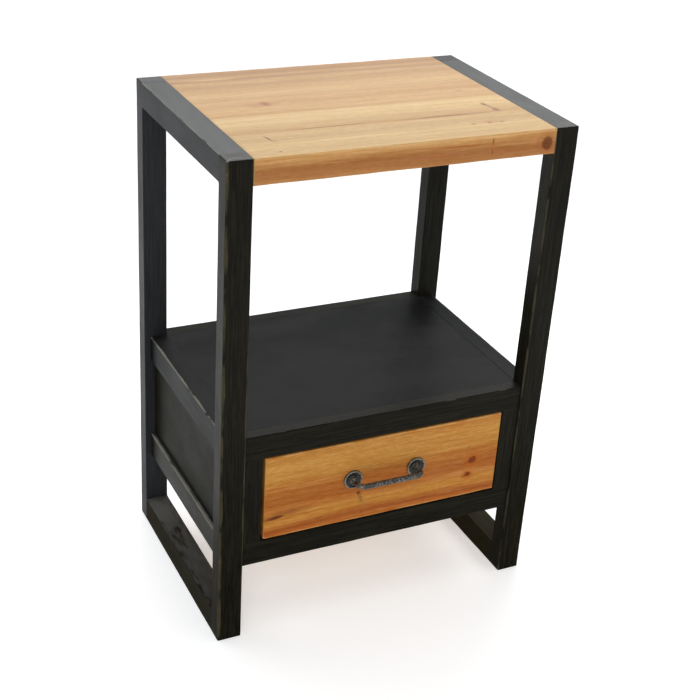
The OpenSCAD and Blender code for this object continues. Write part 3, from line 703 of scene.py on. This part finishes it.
# ---------- rails of the side frames ----------

railRound = {"top outer": 1.2, "top inner": 0.4, "bottom outer": 1.1, "bottom inner": 1.0}
# the strong wear on the top outer edge draws a pale line: rubbed paint together with a painted highlight along
# the edge
topRail = {"round": railRound, "worn": {"top outer": (0.80, [])}, "wornRest": 0.06, "wander": 0.10,
           "reach": 0.30}
floorRail = {"round": {**railRound, "top inner": 1.2}, "wornRest": 0.15,
             "worn": {"bottom outer": (0.42, []), "top outer": (0.25, [])}}
for number, side in enumerate(otherSide):
    paintBars([(f"{side}_top_rail", "y", "Rail", 11, topRail),
               (f"{side}_floor_rail", "y", ["Floor", "FloorRight"][number], 13, floorRail)], side, number)
print("side frame rails made")


# ---------- the box under the shelf ----------

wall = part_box("front_upper_rail")[1].x
corners = [(-wall - 0.01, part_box("front_left_stile")[1].x), (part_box("front_right_stile")[0].x, wall + 0.01)]
openingEdge = 0.8
shelfJoint = {"left": 0.15, "right": 0.6}
stileWear = {"left": 0.55, "right": 0.1}
plainPanel = {"roundRest": 0.2, "columns": 14}
# the wear on the front top edge draws a pale line: rubbed paint together with a painted highlight along the
# edge
frontUpper = {"round": {"front top": 1.1, "front bottom": openingEdge, "back top": 0.08}, "roundRest": 0.3,
              "endRest": 0.3, "flush": {"front bottom": corners}, "worn": {"front top": (0.27, [])},
              "wornRest": 0.05, "wander": 0.06, "reach": 0.7}
frontLower = {"round": {"front bottom": 1.1, "front top": openingEdge}, "flush": {"front top": corners},
              "roundRest": 0.6, "endRest": 0.3, "worn": {"front bottom": (0.22, [(0.02, 0.06, 0.25)])},
              "wornRest": 0.06}
# the strong wear on the ledge's top outer edge draws a pale grey line: rubbed paint together with a painted
# highlight
lowerSide = {"round": {"top outer": 1.5, "bottom outer": 1.5}, "roundRest": 0.6, "endRest": 0.25,
             "worn": {"top outer": (1.1, [(-0.12, 0.02, 0.3)])}, "wornRest": 0.08, "wander": 0.12}
shelf = {"round": {"back top": 0.1, "front top": 0.08}, "roundRest": 0.1, "columns": 24,
         "startRound": {"top": shelfJoint["left"]}, "finishRound": {"top": shelfJoint["right"]}}
back = {"round": {"back top": 1.1, "back bottom": 1.0}, "roundRest": 0.3, "endRest": 0.3,
        "worn": {"back top": (0.3, [])}, "wornRest": 0.05}

paintBars([("front_upper_rail", "x", "", 21, frontUpper), ("front_lower_rail", "x", "", 22, frontLower)])
for number, side in enumerate(otherSide):
    stile = {"round": {"front outer": 0.5, "front inner": openingEdge}, "roundRest": 0.3,
             "worn": {"front outer": (stileWear[side], [])}}
    # the wear on the top outer edge draws a pale line: rubbed paint together with a painted highlight along the
    # edge
    upperSide = {**lowerSide, "round": {**lowerSide["round"], "top inner": shelfJoint[side]}, "roundRest": 0.3,
                 "worn": {"top outer": (0.60, [(0.05, 0.08, 0.2)])}}
    paintBars([(f"front_{side}_stile", "z", "", 23, stile),
               (f"{side}_upper_side_rail", "y", "Shelf", 25, upperSide),
               (f"{side}_lower_side_rail", "y", "LedgeHighlight", 27, lowerSide),
               (f"{side}_side_panel", "y", "Panel", 29, plainPanel)], side, number)
paintBars([("shelf_panel", "x", "Shelf", 31, shelf), ("back_upper_rail", "x", "", 32, back),
           ("back_lower_rail", "x", "", 33, back), ("back_panel", "x", "", 34, plainPanel)])
print("box made")


# ---------- top boards ----------

topLight, edgeLight = (1.15, 1.165, 1.375), (0.77, 0.75, 0.80)  # how strongly the tabletop and its edge are lit
knotRed, knotDark, crackDark = (182, 118, 80), (136, 92, 58), (108, 72, 46)
topBoards = {  # bands run from the board's front to its back; the pith is across and below the board, in metres
    "top_board_1": {
        "bands": [(0.0, (208, 175, 140)), (0.25, (186, 149, 114)), (0.45, (202, 167, 130)),
                  (0.7, (182, 144, 108)), (1.0, (198, 160, 122))],
        "seed": 1.0, "pith": (0.1, 0.6), "spacing": 0.0042, "tilt": 0.02, "lineDepth": 0.55, "blush": 0.35},
    "top_board_2": {
        "bands": [(0.0, (214, 179, 138)), (0.3, (222, 189, 150)), (0.55, (212, 177, 137)),
                  (0.8, (198, 161, 123)), (1.0, (210, 175, 137))],
        "seed": 2.0, "pith": (0.16, 0.58), "spacing": 0.005, "tilt": -0.03, "lineDepth": 0.4, "blush": 0.35},
    "top_board_3": {
        "bands": [(0.0, (216, 178, 132)), (0.35, (222, 186, 142)), (0.7, (212, 174, 130)),
                  (1.0, (224, 188, 144))],
        "seed": 3.0, "pith": (0.05, 0.55), "spacing": 0.0046, "tilt": 0.01, "lineDepth": 0.34, "blush": 0.4},
    "top_board_4": {
        "bands": [(0.0, (212, 176, 130)), (0.3, (222, 190, 146)), (0.55, (232, 203, 160)),
                  (0.85, (236, 208, 166)), (1.0, (230, 200, 156))],
        "seed": 4.0, "pith": (-0.1, 0.52), "spacing": 0.0055, "tilt": 0.03, "lineDepth": 0.36, "blush": 0.15},
    "top_board_5": {
        "bands": [(0.0, (226, 194, 150)), (0.4, (214, 184, 140)), (0.75, (222, 190, 145)),
                  (1.0, (218, 184, 136))],
        "seed": 5.0, "pith": (-0.16, 0.6), "spacing": 0.004, "tilt": -0.02, "lineDepth": 0.34, "blush": 0.2},
    "top_board_6": {
        "bands": [(0.0, (232, 200, 154)), (0.35, (222, 190, 144)), (0.75, (228, 198, 152)),
                  (1.0, (232, 204, 160))],
        "seed": 6.0, "pith": (-0.1, 0.64), "spacing": 0.0045, "tilt": 0.015, "lineDepth": 0.32, "blush": 0.18},
}
frontEdge = [(0.0, (176, 128, 80)), (0.22, (162, 110, 66)), (0.45, (156, 104, 60)), (0.62, (172, 124, 76)),
             (0.82, (186, 140, 90)), (1.0, (204, 162, 112))]
boardMarks = {  # millimetres across the table and from its middle, size, turn, colour, strength and softness
    "top_board_1": [
        ((-150, 140), (60, 6), 0, (228, 192, 146), 0.5, 0.9),
        ((60, 158), (160, 2.2), 0.01, (176, 136, 104), 0.6, 0.9),
    ],
    "top_board_2": [
        ((155, 122), (70, 3.5), 0.02, (184, 146, 116), 0.6, 0.9),
        ((-60, 106), (40, 3), 0, (186, 146, 116), 0.5, 0.9),
    ],
    "top_board_3": [
        ((-128, 18), (32, 15), 0.1, knotRed, 0.48, 0.95),
        ((-121, 20), (10, 13), 0.2, (150, 84, 64), 0.72, 0.85),
        ((65, -3), (30, 4.5), 0, (214, 152, 118), 0.5, 0.9),
        ((168, 7), (11, 7), 0.2, (170, 128, 92), 0.5, 0.9),
    ],
    "top_board_4": [
        ((171, -57), (4.6, 10), 0.2, knotDark, 0.85, 0.7),
        ((173.5, -70), (3.4, 15), 0.12, knotDark, 0.8, 0.8),
        ((176, -83), (6.4, 11), -0.1, knotDark, 0.85, 0.8),
        ((150, -74), (30, 12), 0, (214, 168, 122), 0.5, 0.95),
        ((110, -89), (105, 3), 0, (156, 106, 70), 0.9, 0.8),
        ((-70, -89), (80, 2.4), 0, (146, 100, 66), 0.9, 0.8),
        ((-165, -80), (40, 2), 0, (178, 140, 100), 0.5, 0.9),
    ],
    "top_board_5": [
        ((-171, -112), (2.2, 15), 0.22, crackDark, 0.85, 0.6),
        ((-166, -124), (4.5, 4), 0, (166, 122, 80), 0.6, 0.9),
        ((100, -90.5), (100, 1.6), 0, (136, 92, 60), 0.9, 0.8),
        ((146, -127), (34, 10), -0.1, (190, 140, 98), 0.6, 0.95),
        ((114, -131), (5.6, 8), 0.1, (162, 106, 72), 0.8, 0.9),
        ((138, -130), (5.6, 5.2), 0, (144, 96, 62), 0.85, 0.9),
        ((156, -131), (4.8, 5), 0, (150, 100, 66), 0.8, 0.9),
    ],
    "top_board_6": [
        ((-175, -159), (3, 2.6), 0, crackDark, 0.8, 0.6),
        ((-80, -133.5), (130, 1.6), 0, (236, 208, 164), 0.7, 0.9),
    ],
}
edgeMarks = [  # on the front edge: millimetres across the table and down from the top, then the same
    ((117.5, 10), (1.4, 7), 0.08, (84, 44, 22), 0.95, 0.7),
    ((118, 23), (1.4, 6), 0.04, (84, 44, 22), 0.95, 0.7),
    ((118, 17), (11, 13), 0, (160, 96, 54), 0.5, 0.95),
    ((186, 18), (1.6, 10), 0.15, (140, 84, 44), 0.7, 0.9),
    ((70, 12), (58, 2.6), 0, (150, 80, 42), 0.85, 0.9),
    ((40, 22), (50, 2.4), 0, (150, 84, 46), 0.8, 0.9),
    ((150, 26), (40, 2.4), 0, (154, 90, 48), 0.7, 0.9),
    ((-150, 29), (60, 2.4), 0, (150, 94, 56), 0.6, 0.9),
    ((-120, 14), (70, 1.6), 0.02, (176, 124, 76), 0.6, 0.9),
    ((-60, 28), (7, 2.8), 0, (172, 88, 56), 0.6, 0.9),
    ((182, 13), (10, 10), 0, (178, 112, 72), 0.5, 0.95),
]


boardCommon = {
    "blushTint": (0.96, 0.88, 0.73), "lineTint": (0.78, 0.65, 0.47), "fibreDepth": 0.50, "gritDepth": 0.42,
    "shine": 0.06, "easedShare": 0.7, "easedEdge": rgb(150, 132, 88),
}
boardRounds = {  # long edges rounder than the rest, in millimetres; boards 4 and 5 meet at an open joint
    "top_board_1": {"back top": 1.2, "back bottom": 1.2}, "top_board_4": {"front top": 0.5},
    "top_board_5": {"back top": 0.5}, "top_board_6": {"front top": 1.2, "front bottom": 1.4},
}
edgeKnot = {"across": 0.2022, "below": 0.0192, "size": (0.0084, 0.008, 0.0104)}


def makeTopBoards(boards, rounds, marks, middleY, topHeight, light):
    names = sorted(boards)
    for number, node in enumerate(names):
        low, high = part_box(node)
        look = {**boards[node], **boardCommon}
        spots = [((x * mm, middleY + y * mm, topHeight), (sx * mm, sy * mm, 0.02), turn,
                  underLight(rgb(*shade), light), strength, soft)
                 for (x, y), (sx, sy), turn, shade, strength, soft in marks.get(node, [])]
        knots, front = [], None
        if node == names[-1]:
            front = (low.z, high.z, seen(frontEdge, edgeLight))
            spots += [((x * mm, low.y, high.z - z * mm), (sx * mm, 0.004, sz * mm), (0.0, turn, 0.0),
                       underLight(rgb(*shade), edgeLight), strength, soft)
                      for (x, z), (sx, sz), turn, shade, strength, soft in edgeMarks]
            knots = [((edgeKnot["across"], low.y, high.z - edgeKnot["below"]), edgeKnot["size"], 0.0,
                      rgb(168, 96, 46), rgb(92, 44, 14))]
        bands = ("y", low.y, high.y, seen(boards[node]["bands"], light))
        wood = makePine("pineTop" + node[-1], look, "x", bands, spots, knots, front)
        edges = {"round": rounds.get(node, {}), "roundRest": 0.16, "endRest": 0.35, "columns": 12,
                 "wander": 0.45, "endWorn": 0.8, "reach": 1.0}  # darker where the boards meet the black rails
        barFromNode(node, "x", edges, wood, "top_boards", seed=41 + number)


tableMiddle = (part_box("left_front_post")[0].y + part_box("left_rear_post")[1].y) / 2
makeTopBoards(topBoards, boardRounds, boardMarks, tableMiddle, topZ, topLight)
print("top boards made")


# ---------- drawer ----------

drawerLight = (0.87, 0.80, 0.90)
drawerFront = {
    "bands": [(0.0, (182, 112, 52)), (0.05, (158, 86, 36)), (0.10, (174, 106, 48)), (0.16, (190, 132, 64)),
              (0.24, (190, 132, 66)), (0.31, (180, 114, 56)), (0.40, (168, 100, 46)), (0.50, (172, 106, 50)),
              (0.58, (180, 118, 58)), (0.68, (192, 138, 74)), (0.84, (198, 146, 82)), (0.95, (190, 134, 72)),
              (1.0, (186, 126, 66))],
    "seed": 8.0, "pith": (-0.30, 0.12), "spacing": 0.0060, "tilt": 0.02, "lineDepth": 0.72, "blush": 0.55,
    "blushTint": (1.0, 0.85, 0.69), "lineTint": (0.81, 0.66, 0.46), "bandWarp": 0.022,
    "gloss": (0.34, 0.50), "specular": 0.08, "shine": 0.05, "streakDepth": 0.46, "fibreDepth": 0.50,
    "gritDepth": 0.72, "easedShare": 0.6, "easedEdge": rgb(216, 164, 100),
}
drawerMarks = [  # millimetres across the drawer and up from its middle, size, turn, colour, strength, softness
    ((120, 34), (60, 3), -0.08, (170, 104, 52), 0.5, 0.9),
    ((128, -26), (75, 6), 0, (206, 150, 88), 0.4, 0.9),
    ((85, -14), (34, 10), 0.05, (176, 106, 54), 0.45, 0.95),
    ((-171, -34.5), (24, 4.6), 0.06, (104, 42, 8), 0.95, 0.85),
    ((-166, -33.5), (15, 3), 0.06, (62, 20, 2), 0.97, 0.7),
    ((-60, 18), (50, 2.2), -0.05, (158, 92, 40), 0.55, 0.9),
    ((-120, 4), (60, 2.6), -0.03, (160, 92, 40), 0.55, 0.9),
    ((-20, -12), (70, 2), -0.02, (150, 82, 34), 0.55, 0.9),
    ((60, 44), (70, 1.8), -0.03, (166, 104, 48), 0.5, 0.9),
    ((-146, -29), (46, 8.5), 0.05, (132, 70, 32), 0.65, 0.95),
    ((-176, -33), (22, 5), 0.12, (128, 68, 34), 0.5, 0.95),
    ((-40, -21.5), (4.4, 4), 0, (70, 26, 6), 0.95, 0.8),
    ((-36, -30), (5, 15), 0.35, (122, 74, 30), 0.6, 0.95),
    ((-28, -44), (10, 16), 0.1, (160, 112, 60), 0.35, 0.95),
    ((-99, -50), (9, 3), 0.1, (130, 66, 30), 0.6, 0.9),
    ((-108, -50), (35, 3), 0, (160, 88, 42), 0.5, 0.95),
    ((-32.5, -55.5), (2.4, 2.8), 0, (140, 60, 28), 0.75, 0.8),
    ((30, -56), (130, 2.6), -0.035, (156, 80, 36), 0.6, 0.95),
    ((-110, -59), (80, 2.4), 0.03, (160, 84, 38), 0.5, 0.95),
    ((138, 19), (2.2, 2), 0, (112, 54, 26), 0.65, 0.8),
    ((148, -3), (4.2, 3.2), 0.3, (66, 22, 2), 0.95, 0.8),
    ((145, -6.2), (17, 15), 0.1, (172, 92, 32), 0.6, 0.95),
    ((139, -30.5), (15, 10), 0.1, (166, 88, 30), 0.6, 0.95),
    ((138, -9), (12, 3.6), -0.1, (124, 52, 14), 0.7, 0.9),
    ((134, -32), (10, 2.8), 0.2, (120, 50, 14), 0.7, 0.9),
    ((140, -29), (2.6, 2.4), 0, (60, 20, 2), 0.95, 0.8),
    ((12, 50), (3.5, 18), 0.15, (164, 116, 62), 0.35, 0.95),
    ((50, -30), (5, 16), -0.3, (164, 114, 60), 0.3, 0.95),
]
drawerKnots = [(145, -6.2, 7.2, 6.0), (139.5, -29.4, 5.6, 4.6)]  # across, up, width, height
paleBox = {
    "tones": [rgb(196, 158, 112), rgb(216, 182, 136), rgb(228, 198, 152)],
    "blushTint": (0.97, 0.86, 0.76), "lineTint": (0.78, 0.66, 0.55), "blush": 0.3,
    "seed": 12.0, "pith": (0.05, 0.02), "spacing": 0.0048, "tilt": 0.02, "lineDepth": 0.55,
    "gloss": (0.55, 0.75), "specular": 0.12,
}


def makeDrawer(frontLook, marks, knotPlaces, boxLook):
    low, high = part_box("drawer_front")
    midZ = (low.z + high.z) / 2
    spots = [((x * mm, low.y, midZ + z * mm), (sx * mm, 0.012, sz * mm), (0.0, -turn, 0.0), rgb(*tint),
              strength, soft) for (x, z), (sx, sz), turn, tint, strength, soft in marks]
    knots = [((x * mm, low.y, midZ + z * mm), (sx * mm, 0.010, sz * mm), 0.0, rgb(182, 90, 20), rgb(98, 38, 2))
             for x, z, sx, sz in knotPlaces]
    bands = ("z", low.z, high.z, seen(frontLook["bands"], drawerLight))
    wood = makePine("pineDrawerFront", frontLook, "x", bands, spots, knots)
    # the worn edges and ends take the pale eased colour: worn wood together with a painted highlight along the
    # drawer's edges
    edges = {"round": {"front top": 1.7, "front bottom": 1.5}, "roundRest": 0.6, "columns": 16, "endWorn": 0.75,
             "worn": {"front top": (0.7, []), "front bottom": (0.6, [])}, "reach": 1.2,
             "startRound": {"front": 1.5, "top": 0.6, "bottom": 0.6, "back": 0.3},
             "finishRound": {"front": 1.7, "top": 0.6, "bottom": 0.6, "back": 0.3}}
    barFromNode("drawer_front", "x", edges, wood, "drawer_front", seed=51, body="drawer",
                grow=((2.0, 0, 0), (1.2, 0, 0)))
    sideWood = makePine("pineDrawerSide", boxLook, "y")
    backWood = makePine("pineDrawerBack", dict(boxLook, seed=14.0), "x")
    for number, side in enumerate(["left", "right"]):
        eased = {"round": {"top left": 1.8, "top right": 1.8}, "roundRest": 0.4, "endRest": 0.3, "columns": 10}
        barFromNode(f"{side}_drawer_side", "y", eased, sideWood, "drawer_box", seed=52 + number, body="drawer")
    eased = {"round": {"top front": 1.6, "top back": 1.6}, "roundRest": 0.4, "endRest": 0.2, "columns": 10}
    barFromNode("drawer_back", "x", eased, backWood, "drawer_box", seed=54, body="drawer")


makeDrawer(drawerFront, drawerMarks, drawerKnots, paleBox)
print("drawer made")


# ---------- handle ----------

handle = {
    "legRadius": 3.7, "gripRadius": 4.1,  # millimetres
    "bendRadius": 10.0, "hammer": 0.20, "columns": 28, "every": 0.0007,
    "flangeAt": 5.5, "flangeRadius": 6.4, "flangeReach": 3.4,
    "swellTo": 0.72, "swellFade": 0.2,  # shares of the way from the middle to an end
    "hammerWaves": (4.2, 5.1),
    "iron": rgb(92, 90, 85), "ironRubbedAndGlint": rgb(190, 184, 172), "ironDark": rgb(50, 49, 46),
}


def makeIron(look):
    # hammered iron: Voronoi dimples, dark in the hollows and rubbed bright on the high spots; the bright
    # speckles are rubbed metal together with painted glints
    material, tree, shader = newMaterial("hammeredIron")
    place = objectPlace(tree)
    warped = noise(tree, place, 120.0, detail=2.0)
    cells = addNode(tree, "ShaderNodeTexVoronoi", {"feature": "SMOOTH_F1"}, {
        "Vector": place, "Scale": 640.0, "Smoothness": 0.35}).outputs["Distance"]
    rosetteShineAndShade = attribute(tree, "wear")
    fine = noise(tree, place, 900.0, detail=4.0)
    worn = step(tree, scaleAdd(tree, warped, 0.3, calc(tree, "SUBTRACT", 1.0, cells)), 0.72, 1.02)
    colour = mixColour(tree, worn, look["ironDark"], look["iron"])
    rubbedAndHighlight = step(tree, scaleAdd(tree, warped, 0.25, fine), 0.64, 0.76)
    colour = mixColour(tree, product(tree, rubbedAndHighlight, 0.60), colour, look["ironRubbedAndGlint"])
    # on the rosettes: painted shade with dark patina darkens the dish, and a painted highlight with rubbed
    # metal lightens the rim and boss
    colour = mixColour(tree, step(tree, rosetteShineAndShade, -1.0, -0.2, 0.80, 0.0), colour, look["ironDark"], "MULTIPLY")
    colour = mixColour(tree, step(tree, rosetteShineAndShade, 0.2, 1.0, 0.0, 0.30), colour, look["ironRubbedAndGlint"])
    wire(tree, shader, colour=colour, rough=step(tree, fine, 0.3, 0.7, 0.26, 0.46),
         normal=bumpOf(tree, scaleAdd(tree, fine, 0.25, cells), 0.0005, 0.8))
    shader.inputs["Metallic"].default_value = 0.65
    return material


def handlePath(legX, faceY, barY, z, bend, every):
    # out from the face, a quarter circle, straight across, a quarter circle, and back to the face
    turn = np.arange(0.0, np.pi / 2, every / bend)
    legIn = np.arange(0.0, faceY - barY - bend, every)
    across = np.arange(0.0, 2 * (legX - bend), every)
    left = np.stack([np.full_like(legIn, -legX), faceY - legIn], axis=1)
    corner = np.stack([-legX + bend * (1 - np.cos(turn)), barY + bend * (1 - np.sin(turn))], axis=1)
    grip = np.stack([-legX + bend + across, np.full_like(across, barY)], axis=1)
    start = np.concatenate([left, corner])
    finish = start[::-1] * np.array([-1.0, 1.0])
    route = np.concatenate([start, grip, [[legX - bend, barY]], finish])
    return np.column_stack([route, np.full(len(route), z)])


def tubeAlong(name, route, radius, ripple):
    # a circle carried along the route; side = direction x up, point = centre + r (cos a side + sin a up)
    away = np.gradient(route, axis=0)
    away /= np.linalg.norm(away, axis=1)[:, None]
    up = np.array([0.0, 0.0, 1.0])
    side = np.cross(away, up)
    angle = np.linspace(0, 2 * np.pi, ripple.shape[1], endpoint=False)
    r = radius[:, None] + ripple
    points = (route[:, None, :] + r[..., None] * (
        np.cos(angle)[None, :, None] * side[:, None, :] + np.sin(angle)[None, :, None] * up[None, None, :]))
    return addPiece(name, points)


def makeHandle(look):
    low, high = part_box("handle_bar")
    grip = (high.z - low.z) / 2
    legX, barY, z = high.x - grip, low.y + grip, (low.z + high.z) / 2
    route = handlePath(legX, high.y, barY, z, look["bendRadius"] * mm, look["every"])
    travel = np.concatenate([[0], np.cumsum(np.linalg.norm(np.diff(route, axis=0), axis=1))])
    middle = np.abs(travel - travel[-1] / 2) / (travel[-1] / 2)
    swell = np.clip((look["swellTo"] - middle) / look["swellFade"], 0, 1)
    thicker = (look["gripRadius"] - look["legRadius"]) * swell * swell * (3 - 2 * swell)
    radius = (look["legRadius"] + thicker) * mm
    # a flange sits on each rosette's boss and narrows to the leg as exp(-(distance / reach) squared)
    root = np.minimum(travel, travel[-1] - travel) / mm - look["flangeAt"]
    flare = np.where(root > 0, np.exp(-(root / look["flangeReach"]) ** 2), np.clip(1 + root / 0.3, 0, 1))
    radius += (look["flangeRadius"] - look["legRadius"]) * mm * flare
    angle = np.linspace(0, 2 * np.pi, look["columns"], endpoint=False)
    first, second = (2 * np.pi * travel[:, None] / (wave * mm) for wave in look["hammerWaves"])
    twist = np.sin(first + 2 * angle) * np.sin(second - 3 * angle)
    ripple = look["hammer"] * mm * twist * (0.25 + 0.75 * swell[:, None])
    iron = makeIron(look)
    bar = tubeAlong("handle_bar_iron", route, radius, ripple)
    dress(bar, iron, "drawer", "iron", "handle_bar")
    return iron


rosette = {  # outline from the bore outwards: (radius, height) in millimetres
    "outline": [(3.75, 5.3), (4.6, 5.6), (5.6, 5.2), (6.2, 4.2), (6.7, 2.9), (8.0, 1.9), (9.6, 1.7),
                (11.0, 2.0), (12.1, 2.9), (13.0, 3.2), (13.9, 2.9), (14.45, 2.0), (14.5, 0.9),
                (14.3, 0.05), (3.75, 0.0)],
    "columns": 96, "hammer": 0.16,
}


def smoothOutline(points, rounds=2):
    # corner cutting: each pass puts two points on every stretch, a quarter in from its ends
    for _ in range(rounds):
        first, second = points[:-1], points[1:]
        cut = np.stack([0.75 * first + 0.25 * second, 0.25 * first + 0.75 * second], axis=1).reshape(-1, 2)
        points = np.concatenate([points[:1], cut, points[-1:]])
    return points


def makeRosettes(look, iron):
    outline = smoothOutline(np.array(look["outline"])) * mm
    for number, side in enumerate(["left", "right"]):
        low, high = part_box(f"{side}_rosette")
        centreX, centreZ, faceY = (low.x + high.x) / 2, (low.z + high.z) / 2, high.y
        angle = np.linspace(0, 2 * np.pi, look["columns"], endpoint=False)
        radius, height = outline[:, 0][:, None], outline[:, 1][:, None]
        dents = sum(np.sin(k * angle + radius / mm * s + p + number)
                    for k, s, p in ((7, 1.1, 0.3), (11, -0.8, 2.1), (5, 1.7, 4.0))) / 3
        height = height + look["hammer"] * mm * dents * np.clip(height / (2 * mm), 0, 1)
        points = np.stack([centreX + radius * np.cos(angle), faceY - height,
                           centreZ + radius * np.sin(angle)], axis=2)
        # the rim and the top of the boss are rubbed bright together with a painted highlight, and the dish
        # between them is darkened by painted shade together with dark patina
        rubbedAndHighlight = np.exp(-((radius / mm - 13.4) / 0.9) ** 2) + 0.6 * np.exp(-((radius / mm - 4.9) / 0.7) ** 2)
        dishPatinaAndShade = np.exp(-((radius / mm - 9.2) / 2.4) ** 4)
        wear = np.broadcast_to(rubbedAndHighlight - dishPatinaAndShade, points.shape[:2])
        piece = addPiece(f"{side}_rosette_iron", points, wear, caps=False)
        dress(piece, iron, "drawer", "iron", f"{side}_rosette")


iron = makeHandle(handle)
makeRosettes(rosette, iron)
print("handle made")


# ---------- pieces inside, carried over from the frame ----------

def makeSteel():
    material, tree, shader = newMaterial("zincSteel")
    cloud = noise(tree, objectPlace(tree), 300.0, detail=4.0)
    wire(tree, shader, colour=mixColour(tree, cloud, rgb(150, 148, 140), rgb(196, 196, 190)),
         rough=step(tree, cloud, 0.3, 0.7, 0.28, 0.45), normal=bumpOf(tree, cloud, 0.0001))
    shader.inputs["Metallic"].default_value = 1.0
    return material


def dressNodes(names, material):
    for name in names:
        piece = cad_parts[name]
        piece.data.materials.clear()
        piece.data.materials.append(material)


rawWood = dict(paleBox, tones=[rgb(178, 136, 90), rgb(200, 160, 112), rgb(214, 178, 130)], seed=17.0,
               pith=(0.04, 0.05), spacing=0.0044, gloss=(0.6, 0.8))
plyWood = dict(rawWood, tones=[rgb(200, 162, 116), rgb(220, 188, 142), rgb(230, 202, 160)], seed=19.0,
               spacing=0.011, lineDepth=0.4)
nodeNames = set(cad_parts)
bothSides = ["left_", "right_"]
rawAlong = makePine("rawSoftwood", rawWood, "y")
rawAcross = makePine("rawSoftwoodUpright", dict(rawWood, seed=21.0), "z")
dressNodes([s + k for s in bothSides for k in ("runner", "guide", "kicker", "drawer_stop")], rawAlong)
dressNodes(["drawer_catch"], rawAcross)
dressNodes(["drawer_bottom"], makePine("plywood", plyWood, "x"))
beech = makePine("beechDowel", dict(rawWood, seed=23.0), "y")
dressNodes([n for n in nodeNames if n.endswith("_dowels")], beech)
dressNodes([n for n in nodeNames if n.endswith("_screws")], makeSteel())
print("inner pieces dressed")
